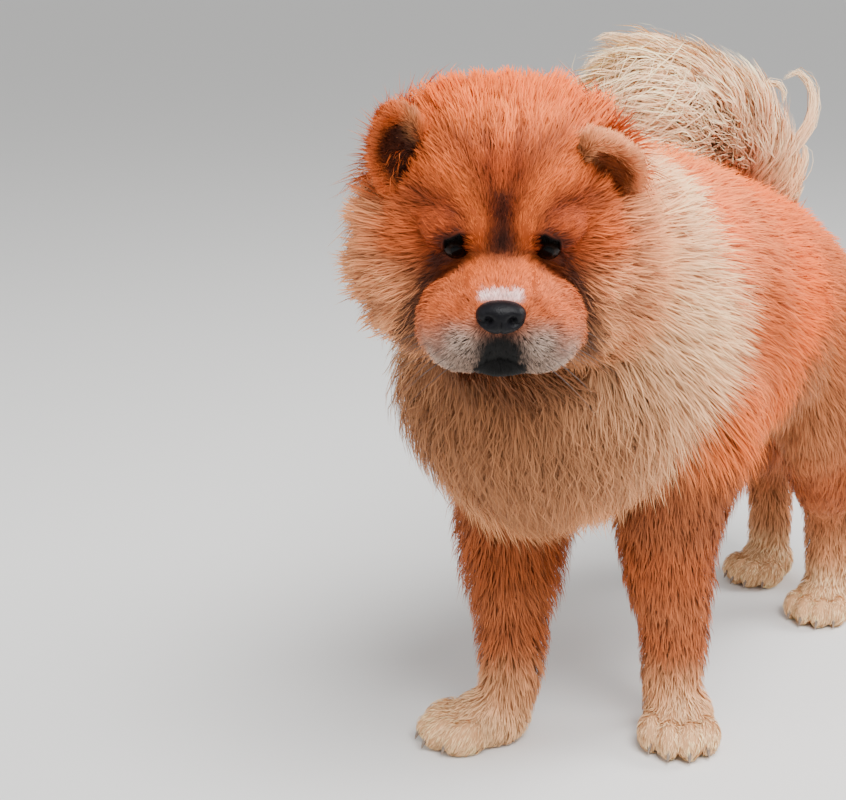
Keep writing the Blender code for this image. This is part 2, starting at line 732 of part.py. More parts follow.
def mouth_groove():
    """A thin tube along the line of the mouth, from one corner to the other."""
    right = [mirrored(point, -1) for point in MOUTH_LINE]
    line = MOUTH_LINE + right[::-1][1:]
    stations = []
    for point in line:
        placed = HEAD @ Vector(point)
        stations.append((*placed, MOUTH_GROOVE, MOUTH_GROOVE))
    work = bmesh.new()
    add_tube(work, stations, sides=6, steps=3, widthways=Vector((0, 0, 1)))
    return object_from("mouth", work)


def ear(name):
    """One ear: a thick rounded leaf with a hollow cup in front."""
    side = SIDES[name.split("_")[1]]
    forward, outward = EAR_LEAN[name]
    lean = Matrix.Rotation(math.radians(outward * side * -1), 4, "Y")
    lean = lean @ Matrix.Rotation(math.radians(forward), 4, "X")
    frame = HEAD @ Matrix.Translation(mirrored(EAR_CENTRE, side)) @ lean
    work = bmesh.new()
    add_ball(work, (0, 0, 0), (1, 1, 1), segments=12)
    for vert in work.verts:
        narrow = 1 - 0.30 * max(vert.co.z, 0)
        shaped = Vector((vert.co.x * narrow, vert.co.y, vert.co.z))
        vert.co = frame @ Vector(a * b for a, b in zip(shaped, EAR_SIZE))
    shell = object_from(name, work)
    work = bmesh.new()
    add_ball(work, EAR_CUP_CENTRE, EAR_CUP_SIZE, frame=frame, segments=10)
    cup = object_from("cup", work)
    boolean(shell, "DIFFERENCE", cup)
    remove(cup)
    return keep_largest(shell)


def thickened(obj, name):
    """A copy of a closed shape with its faces moved outward by the gap."""
    made = copy_of(obj, name)
    mesh = made.data
    moved = [vert.co + vert.normal * GAP for vert in mesh.vertices]
    for vert, place in zip(mesh.vertices, moved):
        vert.co = place
    return made


def cut_from(obj, other):
    """Cuts the grown shape of one piece out of another, so that the two meet with the gap."""
    grown_shape = thickened(other, "grown")
    boolean(obj, "DIFFERENCE", grown_shape)
    remove(grown_shape)
    return keep_largest(obj)


def fuse(obj, others):
    for other in others:
        boolean(obj, "UNION", other)
        remove(other)


def cut(obj, cutters):
    for cutter in cutters:
        boolean(obj, "DIFFERENCE", cutter)
        remove(cutter)


def coloured(name):
    colour, roughness, metallic = MATERIALS[name]
    material = bpy.data.materials.new(name)
    material.use_nodes = True
    shader = material.node_tree.nodes["Principled BSDF"]
    shader.inputs["Base Color"].default_value = (*colour, 1)
    shader.inputs["Roughness"].default_value = roughness
    shader.inputs["Metallic"].default_value = metallic
    return material


def slot_of(name):
    if "paw" in name:
        return "pale_fur"
    return SLOTS.get(name, "orange_fur")


def centre_on_floor(pieces):
    """Moves all so that the middle of their common box stands over the origin."""
    points = np.array([vert.co[:] for obj in pieces for vert in obj.data.vertices])
    middle = (points.min(axis=0) + points.max(axis=0)) / 2
    shift = Matrix.Translation((-middle[0], -middle[1], 0))
    for obj in pieces:
        obj.data.transform(shift)


def main():
    for old in list(bpy.data.objects):
        bpy.data.objects.remove(old, do_unlink=True)

    head = head_core()
    cut(head, [socket(1), socket(-1)])
    fuse(head, [lids(1), lids(-1)])
    cut(head, [mouth_groove()])
    whole = body_core()
    fuse(whole, [head])
    fuse(whole, [paw(name) for name in PAWS])
    cut(whole, [box("below", (-1, -1, -1), (1, 1, 0))])
    keep_largest(whole)
    taken = []
    grow_locks(whole, HEAD_LOCK_SETS, combing(HEAD_COMBED, HEAD), 14, HEAD, taken)
    grow_locks(whole, LOCK_SETS, combing(COMBED), 24, taken=taken)

    tail = tail_core()
    middle = Matrix.Translation((PLUME_CENTRE[0], 0, 0))
    grow_locks(tail, TAIL_LOCK_SETS, combing(TAIL_COMBED, middle), 34, curls=CURLS)
    fuse(whole, [tail])

    pieces = [eye("left"), eye("right"), nose()]
    cut(whole, [eye("left", GAP), eye("right", GAP), nose(GAP)])
    cut(pieces[2], [nostril(1), nostril(-1)])
    for name in EAR_LEAN:
        pieces.append(ear(name))
        cut_from(whole, pieces[-1])
    tilt = Matrix.Translation(TAIL_FRAME) @ Matrix.Rotation(math.radians(-TAIL_TILT), 4, "X")
    pieces.append(part_off(whole, "tail", *TAIL_BOX, tilt))
    for name, (low, high) in LEG_BOXES.items():
        pieces.append(part_off(whole, name, low, high))
    low = (-0.3, -0.3, HEAD_BOTTOM)
    high = (0.3, HEAD_BACK, 0.3)
    pieces.append(part_off(whole, "head", low, high, HEAD))
    tilt = Matrix.Translation(RUFF_PLANE) @ Matrix.Rotation(math.radians(RUFF_TILT), 4, "X")
    pieces.append(part_off(whole, "neck_ruff", (-0.4, -0.5, -0.4), (0.4, 0, 0.4), tilt))
    whole.name = "torso"
    pieces.append(keep_largest(whole))

    materials = {name: coloured(name) for name in MATERIALS}
    for piece in pieces:
        piece.data.name = piece.name
        piece.data.materials.clear()
        piece.data.materials.append(materials[slot_of(piece.name)])
        for polygon in piece.data.polygons:
            polygon.use_smooth = True
    centre_on_floor(pieces)


main()
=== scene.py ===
# A life-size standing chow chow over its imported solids: one skin, eyes, nose leather, claws,
# whiskers and a coat of mesh tufts. Metres, +Z up, the dog faces -Y and its left side is +X.
import math
import bmesh
import bpy
import numpy as np
from mathutils import Matrix, Vector


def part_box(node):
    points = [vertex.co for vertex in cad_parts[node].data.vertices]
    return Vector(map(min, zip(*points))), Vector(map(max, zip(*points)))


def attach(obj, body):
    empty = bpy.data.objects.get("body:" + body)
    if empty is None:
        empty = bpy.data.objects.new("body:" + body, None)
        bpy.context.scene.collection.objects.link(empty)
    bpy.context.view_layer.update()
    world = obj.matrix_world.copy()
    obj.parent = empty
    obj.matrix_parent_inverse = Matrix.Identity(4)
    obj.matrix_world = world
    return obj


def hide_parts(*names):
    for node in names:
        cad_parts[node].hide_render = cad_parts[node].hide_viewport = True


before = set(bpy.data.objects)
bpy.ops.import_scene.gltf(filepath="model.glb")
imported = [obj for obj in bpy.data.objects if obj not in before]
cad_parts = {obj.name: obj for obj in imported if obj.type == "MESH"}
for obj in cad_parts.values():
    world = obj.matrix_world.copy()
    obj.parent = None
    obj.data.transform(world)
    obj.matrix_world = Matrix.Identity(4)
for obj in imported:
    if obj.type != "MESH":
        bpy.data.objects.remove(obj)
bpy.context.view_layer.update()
chance = np.random.default_rng(20)


# Small helpers
def turned(degrees, axis):
    return np.array(Matrix.Rotation(math.radians(degrees), 3, axis))


def unit(v):
    return v / np.maximum(np.linalg.norm(v, axis=-1, keepdims=True), 1e-12)


def smooth(low, high, x):
    # Goes softly from 0 to 1 as x goes from low to high.
    t = np.clip((x - low) / (high - low), 0, 1)
    return t * t * (3 - 2 * t)


def linear(rgb):
    # From the 0 to 255 values seen on a screen to the linear values that a shader uses.
    c = np.array(rgb, float) / 255
    return np.where(c <= 0.04045, c / 12.92, ((c + 0.055) / 1.055) ** 2.4)


# The head's own frame: origin midway between the eyes, X to the dog's left, -Y forward.
headPose = {"eyeLine": (0.061, -0.478, 0.558), "turn": 35, "nod": 16}
headTurn = turned(headPose["turn"], "Z") @ turned(headPose["nod"], "X")
eyeLine = np.array(headPose["eyeLine"])


def fromHead(p):
    return np.asarray(p, float) @ headTurn.T + eyeLine


def toHead(p):
    return (p - eyeLine) @ headTurn


# The solids stand centred on the floor: the eyes say how far the dog's frame was moved for that.
eyeBoxes = [np.array(corner) for name in ("eye_left", "eye_right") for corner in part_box(name)]
shift = np.mean(eyeBoxes, axis=0) - fromHead((0, -0.0125, 0))
shift[2] = 0.0
print("frame loaded, shift", np.round(shift, 4))


# Flesh under the coat
# Stations of each limb: x, y, z of its middle, half width, half height.
flesh = {
    "torso": [
        (0.004, -0.285, 0.410, 0.060, 0.070), (0.004, -0.245, 0.420, 0.090, 0.105),
        (0.002, -0.170, 0.430, 0.104, 0.128), (0.000, -0.080, 0.424, 0.110, 0.122),
        (0.000, 0.020, 0.410, 0.100, 0.108), (0.000, 0.110, 0.400, 0.084, 0.090),
        (0.000, 0.180, 0.378, 0.070, 0.076), (0.000, 0.235, 0.358, 0.048, 0.052),
    ],
    "neck": [
        (0.000, -0.150, 0.445, 0.092, 0.112), (0.006, -0.240, 0.470, 0.086, 0.092),
        (0.014, -0.315, 0.508, 0.080, 0.086), (0.022, -0.355, 0.530, 0.070, 0.078),
    ],
    "tail": [
        (-0.010, 0.130, 0.470, 0.026, 0.026), (-0.018, 0.142, 0.525, 0.024, 0.024),
        (-0.024, 0.122, 0.570, 0.022, 0.022), (-0.028, 0.078, 0.604, 0.020, 0.020),
        (-0.034, 0.026, 0.618, 0.018, 0.018), (-0.040, -0.032, 0.618, 0.016, 0.016),
        (-0.044, -0.084, 0.606, 0.012, 0.012),
    ],
    "foreRight": [
        (-0.076, -0.215, 0.360, 0.050, 0.062), (-0.090, -0.226, 0.290, 0.046, 0.052),
        (-0.090, -0.238, 0.215, 0.037, 0.042), (-0.074, -0.262, 0.120, 0.026, 0.028),
        (-0.062, -0.279, 0.065, 0.025, 0.028), (-0.066, -0.290, 0.030, 0.024, 0.028),
    ],
    "foreLeft": [
        (0.076, -0.195, 0.360, 0.050, 0.062), (0.078, -0.194, 0.290, 0.046, 0.052),
        (0.066, -0.191, 0.215, 0.037, 0.042), (0.070, -0.176, 0.120, 0.027, 0.028),
        (0.066, -0.169, 0.065, 0.026, 0.028), (0.072, -0.172, 0.030, 0.024, 0.028),
    ],
    "thighRight": [
        (-0.060, 0.185, 0.380, 0.044, 0.074), (-0.074, 0.180, 0.320, 0.044, 0.078),
        (-0.074, 0.205, 0.255, 0.036, 0.060), (-0.068, 0.255, 0.195, 0.027, 0.040),
    ],
    "thighLeft": [
        (0.060, 0.165, 0.380, 0.044, 0.074), (0.076, 0.150, 0.320, 0.044, 0.078),
        (0.078, 0.155, 0.255, 0.036, 0.060), (0.070, 0.190, 0.195, 0.027, 0.040),
    ],
    "shankRight": [
        (-0.070, 0.240, 0.210, 0.028, 0.040), (-0.064, 0.298, 0.150, 0.022, 0.028),
        (-0.060, 0.306, 0.100, 0.021, 0.023), (-0.058, 0.304, 0.040, 0.022, 0.025),
    ],
    "shankLeft": [
        (0.070, 0.175, 0.210, 0.030, 0.042), (0.058, 0.226, 0.150, 0.026, 0.030),
        (0.055, 0.236, 0.100, 0.023, 0.025), (0.055, 0.236, 0.040, 0.022, 0.025),
    ],
}
limbGroups = {
    "torso": "torso", "neck": "ruff", "tail": "tail", "foreRight": "legs", "foreLeft": "legs",
    "thighRight": "thighs", "thighLeft": "thighs", "shankRight": "legs", "shankLeft": "legs",
}
paws = {
    "foreRight": ((-0.080, -0.308), -34, 1.0), "foreLeft": ((0.082, -0.178), 30, 1.0),
    "hindRight": ((-0.058, 0.290), -4, 0.92), "hindLeft": ((0.056, 0.222), 10, 0.92),
}
toes = [(-0.028, -0.026), (-0.010, -0.041), (0.010, -0.041), (0.028, -0.026)]
# The masses of the head in its own frame, for the dog's left side: middle, radii, roll, softness.
headMasses = [
    ((0, 0.060, 0.030), (0.076, 0.078, 0.062), 0, 0.020),
    ((0, 0.050, 0.050), (0.064, 0.060, 0.042), 0, 0.020),
    ((0.058, 0.058, -0.020), (0.041, 0.050, 0.058), 0, 0.024),
    ((0.054, 0.056, -0.060), (0.040, 0.046, 0.042), 0, 0.024),
    ((0.034, 0.000, 0.023), (0.029, 0.021, 0.016), 18, 0.010),
    ((0.030, -0.047, -0.048), (0.0315, 0.0375, 0.0355), 0, 0.010),
    ((0.014, -0.057, -0.036), (0.0300, 0.0290, 0.0320), 0, 0.010),
    ((0, -0.030, -0.022), (0.034, 0.048, 0.024), 0, 0.012),
    ((0, -0.052, -0.070), (0.026, 0.030, 0.012), 0, 0.008),
    ((0, 0.000, -0.055), (0.056, 0.056, 0.037), 0, 0.016),
    ((0, -0.006, 0.010), (0.020, 0.020, 0.020), 0, 0.014),
]
earShape = {
    "place": {-1: (-0.079, 0.042, 0.061), 1: (0.082, 0.044, 0.053)},
    "size": (0.028, 0.0145, 0.045), "cup": (0, -0.013, 0.004), "cupSize": (0.0215, 0.0145, 0.037),
    "lean": {-1: (6, -10), 1: (34, 18)}, "join": 0.006,
}


def spline(rows, steps=3):
    # A smooth curve through rows of numbers, each stretch a cubic with its neighbours' slopes.
    rows = np.array(rows, float)
    rows = np.vstack([2 * rows[0] - rows[1], rows, 2 * rows[-1] - rows[-2]])
    t = (np.arange(steps) / steps)[:, None, None]
    a, b, c, d = rows[:-3], rows[1:-2], rows[2:-1], rows[3:]
    out = 0.5 * (2 * b + (c - a) * t + (2 * a - 5 * b + 4 * c - d) * t**2
                 + (3 * b - a - 3 * c + d) * t**3)
    return np.vstack([out.transpose(1, 0, 2).reshape(-1, rows.shape[1]), rows[-2]])


def ballDistance(p, middle, radii, turn=np.eye(3)):
    # Distance to an ellipsoid, close enough near its surface: length over slope.
    q = [sum(turn[i, k] * (p[i] - middle[i]) for i in range(3)) for k in range(3)]
    outer = np.sqrt(sum((q[k] / radii[k]) ** 2 for k in range(3))) + 1e-9
    slope = np.sqrt(sum((q[k] / radii[k] ** 2) ** 2 for k in range(3))) + 1e-9
    return outer * (outer - 1) / slope


def stretchDistance(p, a, b):
    # Distance to a stretch of limb whose oval section changes from station a to station b.
    along = b[:3] - a[:3]
    length = np.linalg.norm(along)
    along = along / length
    across = unit(np.array((1, 0, 0)) - along[0] * along)
    upward = np.cross(along, across)
    q = [p[i] - a[i] for i in range(3)]
    run = sum(q[i] * along[i] for i in range(3))
    t = np.clip(run / length, 0, 1)
    over = run - t * length
    wide = a[3] + (b[3] - a[3]) * t
    high = a[4] + (b[4] - a[4]) * t
    side = sum(q[i] * across[i] for i in range(3))
    rise = sum(q[i] * upward[i] for i in range(3))
    far = np.sqrt(side**2 + rise**2 + over**2) + 1e-9
    share = np.sqrt((side / wide) ** 2 + (rise / high) ** 2 + (over / np.minimum(wide, high)) ** 2)
    return far * (1 - 1 / (share + 1e-9))


def softMin(a, b, k):
    # The smaller of two distances, blended over a width k where they are nearly equal.
    h = np.clip(0.5 + 0.5 * (b - a) / k, 0, 1)
    return b + (a - b) * h - k * h * (1 - h)


def earFrame(side):
    # Place and turn of an ear: it leans forwards and outwards from the head's own frame.
    forward, outward = earShape["lean"][side]
    lean = turned(-outward * side, "Y") @ turned(forward, "X")
    return fromHead(earShape["place"][side]), headTurn @ lean


def earLeaf(points, side):
    # Distance to an ear: an ellipsoid that narrows upwards, hollowed in front by a smaller one.
    middle, turn = earFrame(side)
    local = (points - middle) @ turn
    local[:, 0] /= 1 - 0.30 * np.clip(local[:, 2] / earShape["size"][2], 0, 1)
    shell = ballDistance(local.T, (0, 0, 0), earShape["size"])
    cup = ballDistance(local.T, earShape["cup"], earShape["cupSize"])
    return -softMin(-shell, cup, 0.003)


def bodyParts():
    # Every mass of flesh: its group, its box, its softness and its distance function.
    parts = []

    def add(group, low, high, k, distance):
        parts.append((group, np.array(low), np.array(high), k, distance))

    for name, rows in flesh.items():
        rows = spline(rows)
        spread = np.maximum(rows[:, 3], rows[:, 4])[:, None]

        def limb(p, rows=rows):
            out = None
            for a, b in zip(rows, rows[1:]):
                d = stretchDistance(p, a, b)
                out = d if out is None else np.minimum(out, d)
            return out

        group = limbGroups[name]
        k = {"torso": 0.03, "ruff": 0.03, "thighs": 0.03, "legs": 0.02, "tail": 0.012}[group]
        add(group, (rows[:, :3] - spread).min(0), (rows[:, :3] + spread).max(0), k, limb)

    def ball(group, middle, radii, turn=np.eye(3), k=0.012):
        reach = max(radii)
        middle = np.array(middle, float)
        add(group, middle - reach, middle + reach, k,
            lambda p, m=middle, r=radii, t=turn: ballDistance(p, m, r, t))

    ball("chest", (-0.022, -0.290, 0.400), (0.100, 0.080, 0.096), k=0.03)
    ball("tail", (-0.044, -0.032, 0.624), (0.025, 0.074, 0.032), k=0.02)
    for middle, radii, roll, k in headMasses:
        for side in ((1, -1) if middle[0] else (1,)):
            place = fromHead(np.array(middle) * (side, 1, 1))
            ball("head", place, radii, headTurn @ turned(roll * side, "Y"), k)
    for (x, y), turn, size in paws.values():
        way = turned(turn, "Z")
        base = np.array((x, y, 0))
        ball("paws", base + way @ (0, 0.008 * size, 0.021 * size),
             np.array((0.033, 0.041, 0.027)) * size, way, 0.008)
        for toeX, toeY in toes:
            ball("paws", base + way @ (toeX * size, toeY * size, 0.0165 * size),
                 np.array((0.0125, 0.0235, 0.0175)) * size, way, 0.0035)
    return parts


fleshParts = bodyParts()


def distanceTo(points, groups=None, margin=0.09):
    # Soft union of the masses at loose points. Masses further away than the margin are skipped.
    out = np.full(len(points), 0.3)
    for group, low, high, k, distance in fleshParts:
        if groups and group not in groups:
            continue
        near = np.all((points > low - margin) & (points < high + margin), axis=1)
        if near.any():
            out[near] = softMin(distance(points[near].T), out[near], k)
    if groups is None or "ears" in groups:
        for side in (1, -1):
            near = np.linalg.norm(points - earFrame(side)[0], axis=1) < 0.05 + margin
            if near.any():
                out[near] = softMin(earLeaf(points[near], side), out[near], earShape["join"])
    return out


# Distance grid
gridStep = 0.005
gridLow = np.array((-0.235, -0.665, -0.050))
gridCount = np.ceil((np.array((0.235, 0.430, 0.790)) - gridLow) / gridStep).astype(int)


def distanceGrid():
    # The same soft union on a regular grid, mass by mass, each in its own block of cells.
    axes = [gridLow[i] + gridStep * np.arange(gridCount[i]) for i in range(3)]
    field = np.full(gridCount, 0.3)
    margin = 0.085

    def block(low, high):
        cells = []
        for i in range(3):
            first, last = np.searchsorted(axes[i], (low[i] - margin, high[i] + margin))
            cells.append(slice(first, last))
        x, y, z = (axes[i][cells[i]] for i in range(3))
        return tuple(cells), (x[:, None, None], y[None, :, None], z[None, None, :])

    for group, low, high, k, distance in fleshParts:
        cells, p = block(low, high)
        field[cells] = softMin(distance(p), field[cells], k)
    plain = field.copy()
    for side in (1, -1):
        middle = earFrame(side)[0]
        cells, p = block(middle - 0.05, middle + 0.05)
        shape = field[cells].shape
        loose = np.stack([np.broadcast_to(a, shape).ravel() for a in p], 1)
        leaf = earLeaf(loose, side).reshape(shape)
        field[cells] = softMin(leaf, field[cells], earShape["join"])
    return field, plain


field, plainField = distanceGrid()  # with the ears for the skin, without them for the coat
slopes = np.stack(np.gradient(plainField, gridStep), -1).astype(np.float32)
fieldLine = np.concatenate([plainField[..., None], slopes], -1).astype(np.float32)
print("distance grid", field.shape)


def sample(points):
    # Distance and outward direction at loose points, blended from the eight grid corners around.
    cell = np.clip((points - gridLow) / gridStep, 0, gridCount - 1.001)
    corner = cell.astype(int)
    share = (cell - corner).astype(np.float32)
    out = 0
    for i in (0, 1):
        for j in (0, 1):
            for k in (0, 1):
                weight = (np.abs(1 - i - share[:, 0]) * np.abs(1 - j - share[:, 1])
                          * np.abs(1 - k - share[:, 2]))
                out = out + weight[:, None] * fieldLine[corner[:, 0] + i, corner[:, 1] + j,
                                                        corner[:, 2] + k]
    return out[:, 0], unit(out[:, 1:])


# Meshes from arrays
def meshFrom(name, points, faces):
    # Faces are an array of quads or of triangles, or a list of such arrays.
    groups = faces if isinstance(faces, list) else [faces]
    mesh = bpy.data.meshes.new(name)
    mesh.vertices.add(len(points))
    mesh.vertices.foreach_set("co", (points + shift).astype(np.float32).ravel())
    loops = np.concatenate([g.ravel() for g in groups]).astype(np.int32)
    sizes = np.concatenate([np.full(len(g), g.shape[1]) for g in groups])
    starts = np.concatenate([[0], np.cumsum(sizes)[:-1]]).astype(np.int32)
    mesh.loops.add(len(loops))
    mesh.loops.foreach_set("vertex_index", loops)
    mesh.polygons.add(len(sizes))
    mesh.polygons.foreach_set("loop_start", starts)
    mesh.update(calc_edges=True)
    mesh.shade_smooth()
    obj = bpy.data.objects.new(name, mesh)
    bpy.context.scene.collection.objects.link(obj)
    return obj


def addColours(obj, colours):
    # One linear colour for each point, read by the materials as the attribute tint.
    layer = obj.data.color_attributes.new("tint", "FLOAT_COLOR", "POINT")
    rgba = np.ones((len(colours), 4), np.float32)
    rgba[:, :3] = colours
    layer.data.foreach_set("color", rgba.ravel())


def addCornerMap(obj, perPoint):
    # The same place on the map for every face corner at a point.
    loops = readArray(obj.data.loops, "vertex_index", 1, np.int32)
    layer = obj.data.uv_layers.new(name="OFBake")
    layer.data.foreach_set("uv", perPoint[loops].astype(np.float32).ravel())


def surfaceNet(values):
    # One point in each cell that the surface passes, at the mean of its crossings of the cell's
    # edges, and one quad around each grid edge that the surface crosses.
    inside = values < 0
    cellShape = np.array(values.shape) - 1
    crossSum = np.zeros((*cellShape, 3), np.float32)
    crossCount = np.zeros(cellShape, np.float32)
    for axis in range(3):
        others = [i for i in range(3) if i != axis]
        for a in (0, 1):
            for b in (0, 1):
                first = [slice(None, -1)] * 3
                first[others[0]] = slice(a, a - 1 or None)
                first[others[1]] = slice(b, b - 1 or None)
                second = list(first)
                second[axis] = slice(1, None)
                v0, v1 = values[tuple(first)], values[tuple(second)]
                crossed = (v0 < 0) != (v1 < 0)
                place = np.where(crossed, v0 / np.where(crossed, v0 - v1, 1), 0)
                crossSum[..., axis] += place
                crossSum[..., others[0]] += a * crossed
                crossSum[..., others[1]] += b * crossed
                crossCount += crossed
    cells = np.argwhere(crossCount > 0)
    index = np.full(cellShape, -1)
    index[tuple(cells.T)] = np.arange(len(cells))
    local = crossSum[tuple(cells.T)] / crossCount[tuple(cells.T)][:, None]
    points = gridLow + gridStep * (cells + local)
    quads = []
    for axis in range(3):
        others = [(axis + 1) % 3, (axis + 2) % 3]
        low = [slice(1, -1)] * 3
        low[axis] = slice(None, -1)
        high = list(low)
        high[axis] = slice(1, None)
        starts = inside[tuple(low)]
        crossed = np.argwhere(starts != inside[tuple(high)])
        flip = starts[tuple(crossed.T)]
        edge = crossed + 1
        edge[:, axis] -= 1
        corners = []
        for a, b in ((0, 0), (1, 0), (1, 1), (0, 1)):
            cell = edge.copy()
            cell[:, others[0]] -= a
            cell[:, others[1]] -= b
            corners.append(index[tuple(cell.T)])
        quad = np.stack(corners, 1)
        quad[~flip] = quad[~flip][:, ::-1]
        quads.append(quad)
    return points, np.concatenate(quads)


# The face's folds and openings
face = {
    "eye": (0.0375, -0.0055, 0.0045), "eyeRadius": 0.0118, "opening": (0.0362, 0.0100),
    "openingSize": (0.0108, 0.0132), "nose": (0.0, -0.084, -0.0200),
}


def lineDistance(x, z, line):
    # Least distance in the face's own plane to a line of points, mirrored on both sides.
    out = np.full(len(x), 1.0)
    px = np.abs(x)
    for (ax, az), (bx, bz) in zip(line, line[1:]):
        dx, dz = bx - ax, bz - az
        t = np.clip(((px - ax) * dx + (z - az) * dz) / (dx * dx + dz * dz), 0, 1)
        out = np.minimum(out, np.hypot(px - ax - t * dx, z - az - t * dz))
    return out


# Folds of the face: a line of points (side, up), how deep it sinks or stands (minus), its width.
creases = {
    "cheek": ([(0.043, -0.004), (0.050, -0.025), (0.060, -0.055), (0.061, -0.082)], 0.0050, 0.0045),
    "furrow": ([(0.000, 0.016), (0.001, 0.046)], 0.0030, 0.0042),
    "frown": ([(0.0095, 0.014), (0.0075, 0.050), (0.0120, 0.085)], 0.0024, 0.0026),
    "ridge": ([(0.019, 0.012), (0.020, 0.034), (0.030, 0.056), (0.048, 0.063), (0.064, 0.057)],
              -0.0040, 0.0068),
    "underRidge": ([(0.028, 0.029), (0.040, 0.039), (0.058, 0.037), (0.075, 0.026)],
                   0.0026, 0.0042),
    "overRidge": ([(0.012, 0.060), (0.028, 0.075), (0.050, 0.081)], 0.0022, 0.0042),
    "upperLid": ([(0.0285, 0.0255), (0.031, 0.0250), (0.040, 0.018), (0.0495, 0.005),
                  (0.053, -0.008)], -0.0042, 0.0040),
    "lowerLid": ([(0.026, -0.004), (0.037, -0.006), (0.047, -0.001)], -0.0018, 0.0026),
    "tearFold": ([(0.026, -0.012), (0.037, -0.015), (0.048, -0.009)], 0.0016, 0.0024),
    "muzzleFold": ([(0.024, -0.012), (0.040, -0.030), (0.047, -0.055)], 0.0013, 0.0030),
    "cheekDimple": ([(0.080, -0.045), (0.092, -0.068)], 0.0035, 0.0045),
}
mouthLine = [(0.0, -0.0585), (0.010, -0.0610), (0.020, -0.0680), (0.030, -0.0780), (0.038, -0.086)]


def creaseDistance(name, h):
    # Distance to a fold in the face's plane. The cheek's fold ends where the muzzle's side begins.
    d = lineDistance(h[:, 0], h[:, 2], creases[name][0])
    return d + 0.03 * smooth(-0.022, -0.038, h[:, 1]) if name == "cheek" else d


def eyeOpening(h):
    # How far into the opening of an eye a point lies: 0 at its edge, towards 1 in its middle. The
    # oval is cut by the upper lid, which slopes down outwards.
    x = (np.abs(h[:, 0]) - face["opening"][0]) / face["openingSize"][0]
    z = (h[:, 2] - face["opening"][1]) / face["openingSize"][1]
    lid = (0.90 - 0.55 * x - z) * 0.80
    return np.minimum(1 - np.hypot(x, z), lid)


def faceRelief(h):
    # Height added to the head's skin: creases sink, lids and lips stand up, openings go deep.
    front = smooth(0.055, 0.020, h[:, 1])
    out = np.zeros(len(h))
    for name, (_, depth, width) in creases.items():
        d = creaseDistance(name, h)
        out -= depth * np.exp(-(d / width) ** 2)
        out += 0.35 * depth * np.exp(-((d - 2.1 * width) / width) ** 2) * (depth > 0)
    opening = eyeOpening(h)
    out -= 0.0105 * smooth(-0.06, 0.28, opening) * (h[:, 1] < 0.02)
    nearMuzzle = smooth(-0.045, -0.060, h[:, 1])
    mouth = lineDistance(h[:, 0], h[:, 2], mouthLine)
    out -= 0.0026 * np.exp(-(mouth / 0.0016) ** 2) * nearMuzzle
    out += 0.0012 * np.exp(-((mouth - 0.0042) / 0.0022) ** 2) * nearMuzzle
    philtrum = np.exp(-(h[:, 0] / 0.0013) ** 2) * smooth(-0.062, -0.056, h[:, 2])
    out -= 0.0018 * philtrum * smooth(-0.030, -0.036, h[:, 2]) * nearMuzzle
    return out * front


def onSkin(points, passes=3):
    # Newton steps along the slope of the distance, which is measured by small differences.
    e = 0.0007
    for _ in range(passes):
        d = distanceTo(points, margin=0.02)
        slope = np.stack([distanceTo(points + np.eye(3)[i] * e, margin=0.02) - d
                          for i in range(3)], 1)
        points = points - unit(slope) * np.clip(d, -0.004, 0.004)[:, None]
    return points, unit(slope)


def readArray(items, key, width, kind):
    # One property of a mesh's points, edges, faces or corners as a whole array.
    out = np.empty(len(items) * width, kind)
    items.foreach_get(key, out)
    return out.reshape(-1, width) if width > 1 else out


def makeSkin():
    # The zero surface of the distance grid, cut finer on the face, set on the exact distance and
    # then lifted or sunk by the face's folds.
    points, quads = surfaceNet(field)
    points, normals = onSkin(points, 2)
    draft = bpy.data.meshes.new("draft")
    draft.from_pydata(points.tolist(), [], quads.tolist())
    work = bmesh.new()
    work.from_mesh(draft)
    for finest in (False, True):
        # The face is cut finer twice, the second time only around its openings.
        work.to_mesh(draft)
        h = toHead(readArray(draft.vertices, "co", 3, np.float32).astype(float))
        if finest:
            eye = np.hypot(np.abs(h[:, 0]) - 0.038, h[:, 2] - 0.007) < 0.023
            snout = (h[:, 1] < -0.050) & (np.abs(h[:, 0]) < 0.045) & (h[:, 2] < 0.0)
            chosen = (eye & (h[:, 1] < 0.01)) | snout
        else:
            chosen = (np.abs(h[:, 0]) < 0.095) & (h[:, 1] < 0.035) & (np.abs(h[:, 2]) < 0.108)
        ends = readArray(draft.edges, "vertices", 2, np.int32)
        work.edges.ensure_lookup_table()
        edges = [work.edges[i] for i in np.flatnonzero(chosen[ends].all(1))]
        bmesh.ops.subdivide_edges(work, edges=edges, cuts=1, use_grid_fill=True)
    bmesh.ops.triangulate(work, faces=[f for f in work.faces if len(f.verts) > 4])
    work.to_mesh(draft)
    work.free()
    points = readArray(draft.vertices, "co", 3, np.float32).astype(float)
    starts = readArray(draft.polygons, "loop_start", 1, np.int32)
    sizes = readArray(draft.polygons, "loop_total", 1, np.int32)
    loops = readArray(draft.loops, "vertex_index", 1, np.int32)
    bpy.data.meshes.remove(draft)
    faces = [loops[starts[sizes == n][:, None] + np.arange(n)] for n in (4, 3) if (sizes == n).any()]
    points, normals = onSkin(points, 3)
    points = points + normals * faceRelief(toHead(points))[:, None]
    points[:, 2] = np.maximum(points[:, 2], 0.0)
    return points, faces


skinPoints, skinFaces = makeSkin()
print("skin", len(skinPoints), "points")


